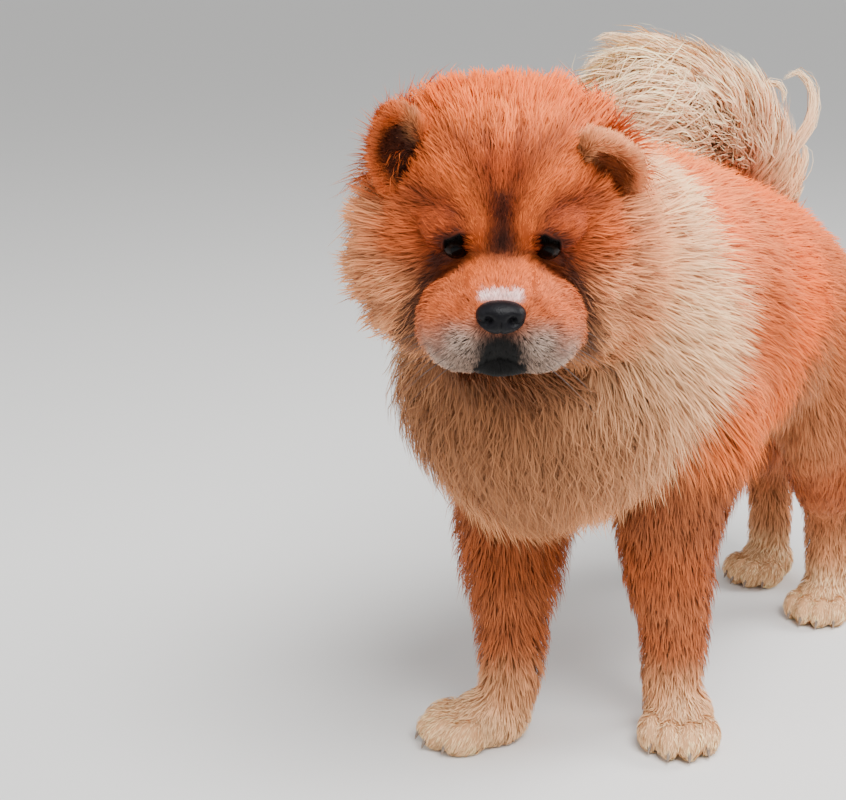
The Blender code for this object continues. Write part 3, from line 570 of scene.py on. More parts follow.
# Colours: markings, with painted shade and painted light
palette = {name: linear(rgb) for name, rgb in {
    "umber": (44, 15, 6), "deepRust": (132, 48, 15), "rust": (186, 80, 30),
    "lightRust": (212, 102, 44), "orange": (216, 100, 40), "paleOrange": (255, 126, 50),
    "flame": (255, 110, 26),
    "brownOrange": (128, 60, 27), "tanShade": (132, 78, 44), "tan": (190, 122, 76),
    "cheekRoot": (186, 104, 60), "cheekTip": (253, 176, 120), "legRoot": (112, 50, 22),
    # chest and chestTip are the chest's tan darkened with painted shade under the head and ruff.
    "legTip": (180, 98, 54), "chest": (98, 54, 28), "chestTip": (176, 116, 74),
    "cream": (246, 174, 118), "peach": (240, 158, 104), "pawRoot": (255, 190, 134),
    # The next pale tip colour, for the ruff's edge, is made paler still with painted rim light.
    "pawTip": (255, 222, 172), "paleTipRimLight": (255, 214, 164), "greyMuzzle": (140, 116, 100),
    "greyTip": (194, 170, 154), "black": (8, 6, 5), "patch": (248, 204, 198),
    "earDark": (64, 30, 18), "plumeShade": (222, 134, 88), "plume": (255, 220, 176),
    "tearSkin": (140, 88, 76), "lip": (6, 5, 4),
}.items()}

# Guides of the coat on the dog's left, mirrored to its right: place, the way the hair lies,
# length, how far its tip stands off the skin, wave, colour at the root and at the tip.
bodyGuides = [
    ((0.00, -0.33, 0.62), (0.0, 0.90, 0.25), 0.090, 0.046, 0.3, "orange", "paleOrange"),
    ((0.00, -0.20, 0.60), (0.0, 1.00, 0.05), 0.080, 0.042, 0.2, "orange", "paleOrange"),
    ((0.00, -0.05, 0.54), (0.0, 1.00, -0.05), 0.065, 0.036, 0.2, "orange", "flame"),
    ((0.00, 0.08, 0.50), (0.0, 1.00, -0.10), 0.056, 0.030, 0.2, "orange", "flame"),
    ((0.00, 0.18, 0.46), (0.0, 0.90, -0.40), 0.052, 0.024, 0.2, "orange", "paleOrange"),
    ((0.05, 0.20, 0.44), (0.2, 0.80, -0.50), 0.052, 0.024, 0.3, "brownOrange", "lightRust"),
    ((0.00, 0.26, 0.38), (0.0, 0.30, -1.0), 0.070, 0.030, 0.3, "tan", "cream"),
    # These two guides of the ruff's edge end in pale tips, made paler with painted rim light.
    ((0.10, -0.31, 0.57), (0.3, 0.80, 0.10), 0.100, 0.054, 0.4, "paleOrange", "paleTipRimLight"),
    ((0.12, -0.30, 0.50), (0.35, 0.75, -0.45), 0.105, 0.056, 0.5, "cream", "paleTipRimLight"),
    ((0.10, -0.25, 0.55), (0.2, 0.90, -0.20), 0.085, 0.046, 0.3, "orange", "flame"),
    ((0.12, -0.18, 0.46), (0.1, 0.85, -0.50), 0.075, 0.038, 0.3, "rust", "lightRust"),
    ((0.11, -0.05, 0.45), (0.0, 0.90, -0.40), 0.065, 0.034, 0.2, "orange", "flame"),
    ((0.10, 0.06, 0.43), (0.0, 0.85, -0.50), 0.062, 0.034, 0.2, "brownOrange", "lightRust"),
    ((0.12, -0.08, 0.36), (0.0, 0.55, -0.80), 0.078, 0.036, 0.5, "orange", "paleOrange"),
    ((0.13, -0.22, 0.38), (0.1, 0.40, -0.90), 0.085, 0.040, 0.5, "rust", "paleOrange"),
    ((0.10, 0.02, 0.34), (0.0, 0.50, -0.85), 0.074, 0.036, 0.4, "brownOrange", "tan"),
    ((0.12, -0.01, 0.38), (0.0, 0.60, -0.75), 0.078, 0.040, 0.4, "brownOrange", "tan"),
    ((0.00, -0.05, 0.30), (0.0, 0.60, -0.80), 0.060, 0.028, 0.4, "tan", "cream"),
    ((0.00, 0.10, 0.32), (0.0, 0.60, -0.80), 0.045, 0.022, 0.3, "tan", "cream"),
    # Throat and chest guides: their chest colours are darkened with painted shade under the head;
    # the one at the chest's side ends in pale tips with painted rim light.
    ((0.00, -0.40, 0.50), (0.0, -0.30, -1.0), 0.100, 0.046, 0.7, "tanShade", "chest"),
    ((0.00, -0.40, 0.42), (0.0, -0.10, -1.0), 0.115, 0.048, 1.0, "chest", "chestTip"),
    ((0.09, -0.37, 0.42), (0.25, 0.00, -1.0), 0.115, 0.050, 0.9, "chest", "chestTip"),
    ((0.14, -0.29, 0.42), (0.20, 0.30, -0.9), 0.105, 0.052, 0.7, "tan", "paleTipRimLight"),
    ((0.00, -0.37, 0.33), (0.0, 0.15, -1.0), 0.105, 0.042, 0.9, "chest", "chestTip"),
    ((0.08, -0.32, 0.31), (0.1, 0.20, -1.0), 0.095, 0.038, 0.7, "chest", "cream"),
    ((0.00, -0.22, 0.29), (0.0, 0.30, -1.0), 0.060, 0.028, 0.5, "tan", "cream"),
    ((0.12, -0.20, 0.33), (0.1, 0.20, -1.0), 0.055, 0.024, 0.3, "legRoot", "legTip"),
    ((0.11, 0.10, 0.40), (0.0, 0.50, -0.85), 0.058, 0.026, 0.2, "brownOrange", "legTip"),
    ((0.12, 0.16, 0.32), (0.0, 0.45, -0.90), 0.050, 0.023, 0.2, "brownOrange", "legTip"),
    ((0.10, 0.18, 0.24), (0.0, 0.50, -0.85), 0.042, 0.018, 0.2, "brownOrange", "lightRust"),
    ((0.08, 0.26, 0.33), (0.0, 0.35, -1.0), 0.064, 0.030, 0.4, "tan", "cream"),
    ((0.07, 0.27, 0.24), (0.0, 0.50, -1.0), 0.048, 0.022, 0.4, "tan", "cream"),
    ((0.03, 0.15, 0.28), (0.0, 0.30, -1.0), 0.030, 0.012, 0.2, "tan", "cream"),
]
headGuides = [
    ((0.000, -0.076, -0.002), (0.0, 0.80, 0.60), 0.005, 0.0012, 0.0, "rust", "lightRust"),
    ((0.014, -0.074, -0.004), (0.4, 0.80, 0.50), 0.005, 0.0014, 0.0, "rust", "lightRust"),
    ((0.000, -0.052, 0.002), (0.0, 0.80, 0.60), 0.008, 0.0020, 0.0, "rust", "lightRust"),
    ((0.022, -0.045, -0.002), (0.4, 0.80, 0.50), 0.009, 0.0022, 0.0, "rust", "lightRust"),
    # The umber of the furrow between the eyes is painted shade in that fold.
    ((0.000, -0.028, 0.012), (0.0, 0.60, 0.80), 0.009, 0.0028, 0.1, "umber", "umber"),
    ((0.000, -0.024, 0.035), (0.0, 0.30, 1.0), 0.013, 0.0045, 0.1, "umber", "deepRust"),
    ((0.020, -0.024, 0.026), (0.2, 0.30, 1.0), 0.013, 0.0045, 0.1, "rust", "lightRust"),
    ((0.036, -0.020, 0.050), (0.5, 0.30, 0.8), 0.015, 0.0055, 0.1, "deepRust", "lightRust"),
    ((0.058, -0.006, 0.056), (0.6, 0.30, 0.7), 0.018, 0.0070, 0.1, "rust", "lightRust"),
    # Deep rust under the brows is painted shade.
    ((0.040, -0.016, 0.030), (0.6, 0.20, 0.3), 0.012, 0.0040, 0.1, "deepRust", "rust"),
    ((0.060, -0.010, 0.028), (0.9, 0.30, 0.3), 0.016, 0.0060, 0.1, "deepRust", "rust"),
    ((0.000, -0.016, 0.070), (0.0, 0.30, 1.0), 0.022, 0.0095, 0.2, "deepRust", "rust"),
    ((0.030, -0.010, 0.074), (0.3, 0.30, 0.9), 0.024, 0.0110, 0.2, "deepRust", "lightRust"),
    ((0.000, 0.010, 0.096), (0.0, 0.35, 0.9), 0.036, 0.0180, 0.2, "rust", "paleOrange"),
    ((0.045, 0.015, 0.090), (0.4, 0.35, 0.8), 0.038, 0.0200, 0.2, "rust", "paleOrange"),
    ((0.000, 0.055, 0.110), (0.0, 0.60, 0.8), 0.046, 0.0260, 0.2, "rust", "flame"),
    ((0.045, 0.060, 0.100), (0.4, 0.50, 0.7), 0.055, 0.0340, 0.2, "rust", "flame"),
    ((0.068, 0.078, 0.080), (0.8, 0.40, 0.6), 0.070, 0.0460, 0.3, "orange", "paleOrange"),
    ((0.082, 0.095, 0.045), (0.9, 0.40, 0.4), 0.078, 0.0520, 0.3, "orange", "peach"),
    ((0.000, 0.120, 0.070), (0.0, 0.90, -0.1), 0.065, 0.0320, 0.2, "orange", "paleOrange"),
    ((0.066, 0.012, 0.060), (0.8, 0.45, 0.4), 0.022, 0.0090, 0.2, "deepRust", "rust"),
    ((0.082, 0.026, 0.035), (0.8, 0.35, 0.1), 0.024, 0.0110, 0.2, "rust", "lightRust"),
    ((0.056, 0.030, 0.084), (0.5, 0.50, 0.7), 0.028, 0.0140, 0.2, "rust", "lightRust"),
    ((0.098, 0.045, 0.040), (0.9, 0.50, 0.1), 0.034, 0.0180, 0.2, "orange", "paleOrange"),
    # Deep rust and umber beside and below the eye's outer corner are painted shade in the folds
    # there.
    ((0.056, -0.008, 0.006), (0.9, 0.40, -0.1), 0.016, 0.0050, 0.1, "deepRust", "rust"),
    ((0.052, -0.008, -0.022), (0.8, 0.50, -0.5), 0.016, 0.0050, 0.1, "umber", "deepRust"),
    ((0.074, 0.008, 0.005), (0.9, 0.45, -0.15), 0.036, 0.0160, 0.2, "rust", "lightRust"),
    ((0.076, 0.010, -0.035), (0.8, 0.45, -0.55), 0.044, 0.0200, 0.3, "rust", "cheekTip"),
    ((0.074, 0.014, -0.070), (0.7, 0.40, -0.75), 0.052, 0.0260, 0.3, "cheekRoot", "cheekTip"),
    ((0.100, 0.040, 0.015), (0.9, 0.45, 0.0), 0.066, 0.0420, 0.3, "cheekRoot", "cheekTip"),
    ((0.102, 0.045, -0.035), (0.9, 0.45, -0.35), 0.072, 0.0450, 0.4, "cheekRoot", "cheekTip"),
    ((0.092, 0.045, -0.085), (0.8, 0.35, -0.65), 0.072, 0.0440, 0.4, "cheekRoot", "cheekTip"),
    ((0.040, 0.020, -0.095), (0.25, 0.35, -0.9), 0.055, 0.0270, 0.4, "tanShade", "tan"),
    # The outer ruff around the head ends in pale tips, made paler with painted rim light.
    ((0.095, 0.100, 0.000), (0.7, 0.80, -0.1), 0.090, 0.0520, 0.3, "paleOrange", "paleTipRimLight"),
    ((0.095, 0.100, -0.060), (0.6, 0.80, -0.5), 0.090, 0.0500, 0.4, "paleOrange", "paleTipRimLight"),
    ((0.060, 0.120, 0.060), (0.4, 0.85, 0.2), 0.075, 0.0420, 0.3, "orange", "paleOrange"),
    ((0.030, -0.074, -0.020), (0.6, 0.75, 0.2), 0.007, 0.0018, 0.0, "rust", "lightRust"),
    ((0.042, -0.062, -0.030), (0.7, 0.65, -0.2), 0.012, 0.0042, 0.1, "rust", "lightRust"),
    ((0.052, -0.034, -0.030), (0.8, 0.45, -0.5), 0.022, 0.0105, 0.2, "deepRust", "lightRust"),
    ((0.058, -0.040, -0.055), (0.8, 0.35, -0.6), 0.022, 0.0110, 0.2, "brownOrange", "lightRust"),
    ((0.048, -0.048, -0.074), (0.6, 0.35, -0.8), 0.019, 0.0085, 0.2, "greyMuzzle", "cream"),
    ((0.028, -0.082, -0.042), (0.55, 0.60, -0.4), 0.008, 0.0022, 0.0, "greyMuzzle", "greyTip"),
    ((0.040, -0.070, -0.060), (0.50, 0.65, -0.6), 0.010, 0.0030, 0.1, "greyMuzzle", "greyTip"),
    ((0.010, -0.086, -0.046), (0.20, 0.20, -0.9), 0.005, 0.0014, 0.0, "black", "black"),
    ((0.028, -0.076, -0.068), (0.40, 0.40, -0.8), 0.007, 0.0022, 0.0, "greyMuzzle", "greyMuzzle"),
    ((0.000, -0.076, -0.074), (0.0, 0.35, -0.9), 0.006, 0.0020, 0.0, "black", "black"),
    ((0.028, -0.056, -0.084), (0.2, 0.50, -0.8), 0.014, 0.0050, 0.1, "greyMuzzle", "tan"),
    ((0.000, -0.040, -0.090), (0.0, 0.60, -0.8), 0.024, 0.0100, 0.2, "tanShade", "tanShade"),
    ((0.000, 0.010, -0.100), (0.0, 0.50, -0.9), 0.045, 0.0220, 0.4, "tanShade", "tan"),
]
tailGuides = [
    ((0.00, -0.11, 0.60), (-0.3, -1.0, -0.2), 0.120, 0.040, 1.0, "plumeShade", "plume"),
    ((0.00, -0.04, 0.66), (-0.4, -0.95, 0.2), 0.130, 0.046, 1.2, "plume", "plume"),
    ((0.00, 0.05, 0.66), (-0.4, -0.85, 0.5), 0.140, 0.048, 1.2, "plumeShade", "plume"),
    ((0.00, 0.12, 0.62), (-0.3, -0.50, 0.9), 0.130, 0.042, 1.2, "plumeShade", "plume"),
    ((0.00, 0.17, 0.56), (0.1, 0.10, 1.0), 0.085, 0.030, 1.2, "plumeShade", "plume"),
    ((0.00, 0.16, 0.49), (0.1, 0.40, 0.8), 0.055, 0.022, 0.8, "tan", "cream"),
    ((0.04, -0.03, 0.62), (-0.2, -0.9, 0.4), 0.120, 0.040, 1.0, "plumeShade", "plume"),
    ((0.04, 0.08, 0.60), (0.0, -0.6, 0.8), 0.120, 0.040, 1.2, "plumeShade", "plume"),
    ((0.04, -0.06, 0.58), (-0.1, -0.9, -0.1), 0.100, 0.036, 1.0, "tan", "cream"),
    ((-0.04, -0.03, 0.62), (-0.6, -0.8, 0.2), 0.120, 0.044, 1.0, "plumeShade", "plume"),
    ((-0.04, 0.08, 0.60), (-0.6, -0.5, 0.6), 0.120, 0.044, 1.2, "plumeShade", "plume"),
    ((-0.04, -0.06, 0.58), (-0.6, -0.8, -0.3), 0.095, 0.040, 1.0, "tan", "plume"),
]


# Each guide as numbers: place, way, length, rise, wave and its two colours.
def guideRows(guides, place=lambda p: np.array(p, float), turn=np.eye(3), middle=0.0, both=True):
    rows = []
    for spot, way, length, rise, wave, root, tip in guides:
        for side in ((1, -1) if both and spot[0] else (1,)):
            at = place((spot[0] * side + middle, spot[1], spot[2]))
            lie = turn @ unit(np.array(way) * (side, 1, 1))
            rows.append([*at, *lie, length, rise, wave, *palette[root], *palette[tip]])
    return rows


def legRows():
    # Around each station of a leg: short in front, feathered behind, paler towards the paw.
    rows = []
    for name in ("foreRight", "foreLeft", "shankRight", "shankLeft"):
        front = name.startswith("fore")
        for x, y, z, wide, high in flesh[name]:
            if z > 0.30 or z < 0.05:
                continue
            low = float(smooth(0.105 if front else 0.20, 0.045, z))
            root = palette["brownOrange"] * (1 - low) + palette["tan"] * low
            tip = palette["lightRust"] * 0.5 + palette["legTip"] * 0.5
            tip = tip * (1 - low) + palette["cream"] * low
            if z > 0.25:
                root = palette["legRoot"]
                tip = palette["legTip"]
            full = smooth(0.05, 0.22, z) * (1.25 if name == "foreRight" else 0.35)
            for ox, oy in ((0, -1), (1, 0), (0, 1), (-1, 0)):
                behind = max(oy, 0) * (1 - low) * (1.0 if front else 0.4)
                length = 0.022 + 0.028 * behind + 0.026 * full
                rise = 0.0060 + 0.014 * behind + 0.016 * full
                lie = unit(np.array((0.12 * ox, 0.10 + 0.5 * behind, -1.0)))
                rows.append([x + ox * wide, y + oy * high, z, *lie, length, rise,
                             0.1 + 0.4 * behind, *root, *tip])
    for (x, y), turn, size in paws.values():
        way = turned(turn, "Z")
        for spot, lie, length, rise in (
            ((0, 0, 0.050), (0, -0.75, -0.6), 0.013, 0.0032),
            ((0, -0.045, 0.034), (0, -0.7, -0.7), 0.010, 0.0024),
            ((0.036, -0.02, 0.022), (0.3, -0.5, -0.8), 0.011, 0.0028),
            ((-0.036, -0.02, 0.022), (-0.3, -0.5, -0.8), 0.011, 0.0028),
            ((0, 0.046, 0.024), (0, 0.3, -1), 0.016, 0.0050),
            ((0, -0.060, 0.014), (0, -0.6, -0.8), 0.008, 0.0018),
        ):
            at = np.array((x, y, 0)) + way @ (np.array(spot) * size)
            rows.append([*at, *(way @ unit(np.array(lie))), length, rise, 0.1,
                         *palette["pawRoot"], *palette["pawTip"]])
    return rows


guideSets = {
    "body": np.array(guideRows(bodyGuides) + legRows()),
    "head": np.array(guideRows(headGuides, fromHead, headTurn)),
    "tail": np.array(guideRows(tailGuides, middle=-0.044, both=False)),
}
setOf = {"head": "head", "ears": "head", "tail": "tail"}


def guided(points, normals, setName):
    # Nearby guides weigh most, by one over the fourth power of their distance.
    rows = guideSets[setName]
    out = np.empty((len(points), rows.shape[1] - 3))
    soft = 0.00006 if setName == "head" else 0.0006
    for start in range(0, len(points), 20000):
        part = points[start:start + 20000]
        far = ((part[:, None, :] - rows[None, :, :3]) ** 2).sum(-1) + soft
        weight = 1 / far**2
        weight /= weight.sum(1, keepdims=True)
        out[start:start + 20000] = weight @ rows[:, 3:]
    lie = out[:, :3] - (out[:, :3] * normals).sum(1, keepdims=True) * normals
    return unit(lie), out[:, 3], out[:, 4], out[:, 5], out[:, 6:9], out[:, 9:12]


def mottle(points, size, seed):
    # Soft cloudy values about 0, made of waves that run in many directions.
    rng = np.random.default_rng(seed)
    out = np.zeros(len(points))
    for _ in range(9):
        way = unit(rng.normal(size=3)) * 2 * math.pi / size * rng.uniform(0.6, 1.6)
        out += np.sin(points @ way + rng.uniform(0, 6.3))
    return out / 4


def markingsAndPaintedShading(points, root, tip):
    # What the guides are too coarse for, the same for the skin and for the coat at its roots.
    h = toHead(points)
    x, y, z = np.abs(h[:, 0]), h[:, 1], h[:, 2]
    root, tip = root.copy(), tip.copy()

    def paint(mask, low, high):
        m = np.clip(mask, 0, 1)[:, None]
        root[:] = root * (1 - m) + palette[low] * m
        tip[:] = tip * (1 - m) + palette[high] * m

    front = smooth(0.045, 0.010, y) * (np.abs(z) < 0.13) * (x < 0.11)
    # Painted shade: the face's folds are darkened with umber and deep rust along their lines.
    for name, share, high in (("furrow", 0.78, "umber"), ("frown", 0.6, "deepRust"),
                              ("underRidge", 0.7, "deepRust"), ("overRidge", 0.5, "deepRust"),
                              ("cheek", 0.95, "umber"), ("cheekDimple", 0.6, "deepRust"),
                              ("muzzleFold", 0.35, "deepRust")):
        width = 1.5 * creases[name][2]
        paint(share * np.exp(-(creaseDistance(name, h) / width) ** 2) * front, "umber", high)
    ridge = creaseDistance("ridge", h)
    paint(0.45 * np.exp(-(ridge / 0.0070) ** 2) * front, "rust", "paleOrange")
    rim = eyeOpening(h)
    # Painted shade under the brow: the skin and roots above each eye's opening are darkened.
    paint(0.7 * smooth(-0.42, -0.18, rim) * smooth(-0.004, 0.004, z) * front, "umber", "deepRust")
    tear = np.exp(-((x - 0.0380) / 0.0065) ** 2 - ((z + 0.0075) / 0.0036) ** 2)
    paint(0.75 * tear * front * (y > -0.035), "tearSkin", "tearSkin")
    # Black at each eye's opening: the dark lid rim, with painted shade of the deep socket around it.
    paint(smooth(-0.20, -0.04, rim) * front, "black", "black")
    snout = smooth(-0.054, -0.068, y) * front
    rough = mottle(points, 0.006, 3)
    patch = smooth(0.019, 0.014, x) * smooth(-0.014, -0.010, z)
    patch = patch * smooth(-0.0675, -0.0725, y + 0.002 * rough)
    paint(patch * (0.90 + 0.3 * rough) * front, "patch", "patch")
    lips = np.exp(-(lineDistance(h[:, 0], z, mouthLine[:2]) / 0.0060) ** 4)
    wide = 0.008 + 0.010 * smooth(-0.034, -0.062, z) + 0.003 * rough
    centre = smooth(0.005, -0.003, x - wide) * smooth(-0.024, -0.040, z + 0.004 * rough)
    chin = smooth(0.021, 0.013, x + 0.003 * rough) * smooth(-0.058, -0.066, z)
    paint(np.maximum(np.maximum(lips, centre), chin) * snout, "lip", "black")
    speckle = smooth(0.25, 0.65, mottle(points, 0.0035, 4)) * smooth(0.052, 0.030, x)
    paint(0.85 * speckle * snout * smooth(-0.022, -0.036, z), "black", "black")
    for side in (1, -1):
        # Ears: dark in the cup as painted shade of the hollow, deeper on the right ear, tan at its
        # inner edge, rust outside.
        middle, turn = earFrame(side)
        local = (points - middle) @ turn / np.array(earShape["size"])
        near = smooth(1.35, 1.10, np.linalg.norm(local, axis=1))
        inCup = smooth(0.80, 0.55, np.hypot(local[:, 0], local[:, 2] - 0.05))
        inCup = inCup * (local[:, 1] < 0.30)
        paint(near, "rust", "lightRust")
        paint(near * inCup * (0.95 if side < 0 else 0.68), "earDark", "umber")
        # Painted light: the left ear's outside is paler.
        if side > 0:
            paint(0.75 * near * (1 - inCup), "cheekRoot", "cheekTip")
        fold = np.exp(-((local[:, 0] * side + 0.42) / 0.16) ** 2) * smooth(0.0, 0.5, local[:, 2])
        paint(0.8 * near * fold * (local[:, 1] < 0.2), "tanShade", "chestTip")
    return root, tip


# The skin piece
skin = meshFrom("skin", skinPoints, skinFaces)
skinData = skin.data
bpy.context.view_layer.objects.active = skin
skin.select_set(True)
bpy.ops.object.mode_set(mode="EDIT")
bpy.ops.mesh.select_all(action="SELECT")
bpy.ops.mesh.normals_make_consistent(inside=False)
bpy.ops.uv.smart_project(angle_limit=math.radians(70), island_margin=0.001)
bpy.ops.object.mode_set(mode="OBJECT")
skin.select_set(False)
skinData.uv_layers[0].name = "OFBake"
skinData.calc_loop_triangles()
triVerts = readArray(skinData.loop_triangles, "vertices", 3, np.int32)
triLoops = readArray(skinData.loop_triangles, "loops", 3, np.int32)
loopUv = readArray(skinData.uv_layers[0].data, "uv", 2, np.float32)
pointNormals = readArray(skinData.vertex_normals, "vector", 3, np.float32)
groupNames = ["head", "ears", "ruff", "chest", "torso", "thighs", "legs", "paws", "tail"]
groupFar = np.stack([distanceTo(skinPoints, {name}, 0.05) for name in groupNames], 1)
pointGroup = groupFar.argmin(1)
print("skin laid out,", len(triVerts), "triangles")


def skinColours():
    # The colours of the coat's roots, darkened as painted shade, so that what shows between tufts
    # reads as the shade deep in the coat.
    out = np.zeros((len(skinPoints), 3))
    for setName in guideSets:
        mine = np.array([setOf.get(groupNames[g], "body") == setName for g in range(9)])[pointGroup]
        if mine.any():
            p, n = skinPoints[mine], pointNormals[mine]
            root, tip = guided(p, n, setName)[4:6]
            root, tip = markingsAndPaintedShading(p, root, tip)
            out[mine] = root * 0.62 + tip * 0.12
    return out


addColours(skin, skinColours())
cornerTri = skinPoints[triVerts]
triArea = np.linalg.norm(np.cross(cornerTri[:, 1] - cornerTri[:, 0],
                                  cornerTri[:, 2] - cornerTri[:, 0]), axis=1) / 2
triMiddle = cornerTri.mean(1)
triGroup = pointGroup[triVerts[:, 0]]
triHead = toHead(triMiddle)


# Tufts
def clumpCentres(points, size, seed):
    # Each point's nearest centre among centres that are shaken out of a regular lattice.
    base = np.floor(points / size).astype(int)
    best = np.full(len(points), 1e9)
    centre = np.zeros_like(points)
    key = np.zeros(len(points))
    for i in (-1, 0, 1):
        for j in (-1, 0, 1):
            for k in (-1, 0, 1):
                cell = base + (i, j, k)
                mixed = (cell @ (73856093, 19349663, 83492791) + seed * 7919) & 0x7FFFFFFF
                shaken = np.stack([((mixed * m) % 10007) / 10007 for m in (31, 57, 91)], 1)
                place = (cell + shaken) * size
                far = ((points - place) ** 2).sum(1)
                closer = far < best
                best[closer] = far[closer]
                centre[closer] = place[closer]
                key[closer] = ((mixed * 13) % 9973 / 9973)[closer]
    return centre, key


def blades(stations, uppers, width, twist, low, high, tone, spot, tipShare, soft=0.52):
    # Flat tapered strips along many paths at once, each of a few rings of two points and a tip.
    # Their shading normals lean towards the skin's, which keeps the coat's light soft.
    rings = len(stations) - 1
    steps = np.linspace(0, 1, rings + 1)
    profile = np.interp(steps[:-1], (0, 0.35, 1), (0.75, 1.0, 0.42))
    rows, normals = [], []
    for i in range(rings):
        tangent = unit(stations[i + 1] - stations[max(i - 1, 0)])
        across = unit(np.cross(tangent, uppers[i]))
        lifted = np.cross(across, tangent)
        cos, sin = np.cos(twist)[:, None], np.sin(twist)[:, None]
        side = across * cos + lifted * sin
        face = lifted * cos - across * sin
        half = side * (width * profile[i] / 2)[:, None]
        rows += [stations[i] + half, stations[i] - half]
        base = uppers[i] * soft + face * (1 - soft)
        normals += [unit(base + side * 0.22), unit(base - side * 0.22)]
    rows.append(stations[rings])
    normals.append(unit(base))
    count, per = len(width), len(rows)
    first = np.arange(count)[:, None] * per
    quads = np.concatenate([first + np.array((2 * i, 2 * i + 2, 2 * i + 3, 2 * i + 1))
                            for i in range(rings - 1)])
    tips = first + np.array((per - 3, per - 1, per - 2))
    shade = np.array(np.repeat(steps[:-1], 2).tolist() + [1.0])
    share = shade[None, :, None] ** tipShare
    # Painted shade: each blade darkens towards its root, for the shade deep in the coat.
    dark = 0.56 + 0.44 * smooth(0.0, 0.50, share)
    colours = (low[:, None, :] * (1 - share) + high[:, None, :] * share) * tone[:, None, None]
    around = np.array([((i % 2 * 2 - 1) * 0.0012, -0.0014 + 0.0028 * s)
                       for i, s in enumerate(shade[:-1])] + [(0.0, 0.0015)])
    return {"points": np.stack(rows, 1).reshape(-1, 3), "quads": quads, "tips": tips,
            "normals": np.stack(normals, 1).reshape(-1, 3),
            "colours": np.clip(colours * dark, 0, 1).reshape(-1, 3),
            "map": np.clip((spot[:, None, :] + around[None]).reshape(-1, 2), 0, 1)}


def coatPiece(name, slotName, parts):
    # One mesh of several lots of blades.
    starts = np.cumsum([0] + [len(p["points"]) for p in parts])
    quads = np.concatenate([p["quads"] + n for p, n in zip(parts, starts)])
    tips = np.concatenate([p["tips"] + n for p, n in zip(parts, starts)])
    coat = meshFrom(name, np.concatenate([p["points"] for p in parts]), [quads, tips])
    addColours(coat, np.concatenate([p["colours"] for p in parts]))
    addCornerMap(coat, np.concatenate([p["map"] for p in parts]))
    coat.data.normals_split_custom_set_from_vertices(np.concatenate([p["normals"] for p in parts]))
    coat.data.materials.append(furMaterial)
    settle(coat, slotName)
    print(name, len(quads) * 2 + len(tips), "triangles")


def tufts(layer):
    # A lot of blades that start on the chosen triangles and follow the guides over the skin. The
    # layer says where, how many, how wide, in how many rings, and how loose they lie.
    count = int(layer["count"] * (1))
    weight = triArea * layer["where"]
    pick = chance.choice(len(triArea), count, p=weight / weight.sum())
    a, b = np.sort(chance.random((2, count)), axis=0)
    share = np.stack([a, b - a, 1 - b], 1)[:, :, None]
    roots = (skinPoints[triVerts[pick]] * share).sum(1)
    normals = unit((pointNormals[triVerts[pick]] * share).sum(1))
    spot = (loopUv[triLoops[pick]] * share).sum(1)
    setNames = np.array([setOf.get(groupNames[g], "body") for g in range(9)])[triGroup[pick]]
    way = np.zeros((count, 3))
    length, rise, wave = (np.zeros(count) for _ in range(3))
    low, high = np.zeros((count, 3)), np.zeros((count, 3))
    for setName in guideSets:
        mine = setNames == setName
        if mine.any():
            (way[mine], length[mine], rise[mine], wave[mine], low[mine],
             high[mine]) = guided(roots[mine], normals[mine], setName)
    bare = eyeOpening(toHead(roots)) > -0.10
    low, high = markingsAndPaintedShading(roots, low, high)
    length = length * layer.get("length", 1.0) * chance.uniform(0.65, 1.12, count)
    rise = rise * layer.get("rise", 1.0) * chance.uniform(0.65, 1.12, count)
    length = np.where(bare, 0.0005, length)
    rise = np.where(bare, 0.0, rise)
    wander = np.radians(layer.get("wander", 9)) * chance.normal(size=count)
    centre, key = clumpCentres(roots, layer.get("clump", 0.012), layer.get("seed", 1))
    pull = centre - roots
    pull = pull - (pull * normals).sum(1, keepdims=True) * normals
    gather = layer.get("gather", 0.5) * chance.uniform(0.4, 1.0, count)
    phase = 2.5 * mottle(roots, 0.05, 6) + 1.2 * key + chance.normal(0, 0.3, count)
    swing = wave * layer.get("wave", 1.0) * 0.0035
    rise = rise * (0.86 + 0.28 * key)
    hang = layer.get("hang", 0.0) * smooth(0.42, 0.30, roots[:, 2]) + layer.get("droop", 0.0)
    rings = layer["rings"]
    steps = np.linspace(0, 1, rings + 1)
    place, normal = roots.copy(), normals.copy()
    stations, uppers = [roots - normals * 0.0008], [normals]
    for s0, s1 in zip(steps, steps[1:]):
        step = way * np.cos(wander)[:, None] + np.cross(normal, way) * np.sin(wander)[:, None]
        flat = np.sqrt(np.maximum(length**2 - rise**2, 0.2 * length**2))
        place = place + step * (flat * (s1 - s0))[:, None]
        if layer.get("free"):
            place = place + normal * (rise * (s1 - s0))[:, None]
        else:
            far, normal = sample(place)
            target = rise * np.sin(s1 * math.pi / 2)
            place = place + normal * np.clip(target - far, -0.02, 0.02)[:, None]
            way = unit(way - (way * normal).sum(1, keepdims=True) * normal)
        stations.append(place)
        uppers.append(normal)
    for i, s in enumerate(steps):
        side = np.cross(uppers[i], unit(stations[min(i + 1, rings)] - stations[max(i - 1, 0)]))
        bend = swing * np.sin(phase + layer.get("curl", 7.0) * s * (0.8 + 0.4 * key)) * s**0.7
        down = hang * length * s * s
        stations[i] = (stations[i] + pull * (gather * s**1.3)[:, None]
                       + unit(side) * bend[:, None] - np.array((0, 0, 1)) * down[:, None])
        stations[i][:, 2] = np.maximum(stations[i][:, 2], 0.0012)
    twist = np.radians(layer.get("twist", 28)) * chance.normal(size=count)
    width = layer["width"] * chance.uniform(0.7, 1.3, count)
    width = np.minimum(width, 0.16 * length + 0.0002)
    tone = 1 + layer.get("vary", 0.10) * chance.normal(size=count) + 0.09 * mottle(roots, 0.035, 5)
    tone = np.clip(tone * (0.90 + 0.20 * key), 0.6, 1.4)
    return blades(stations, uppers, width, twist, low, high, tone, spot,
                  layer.get("tipShare", 1.0))


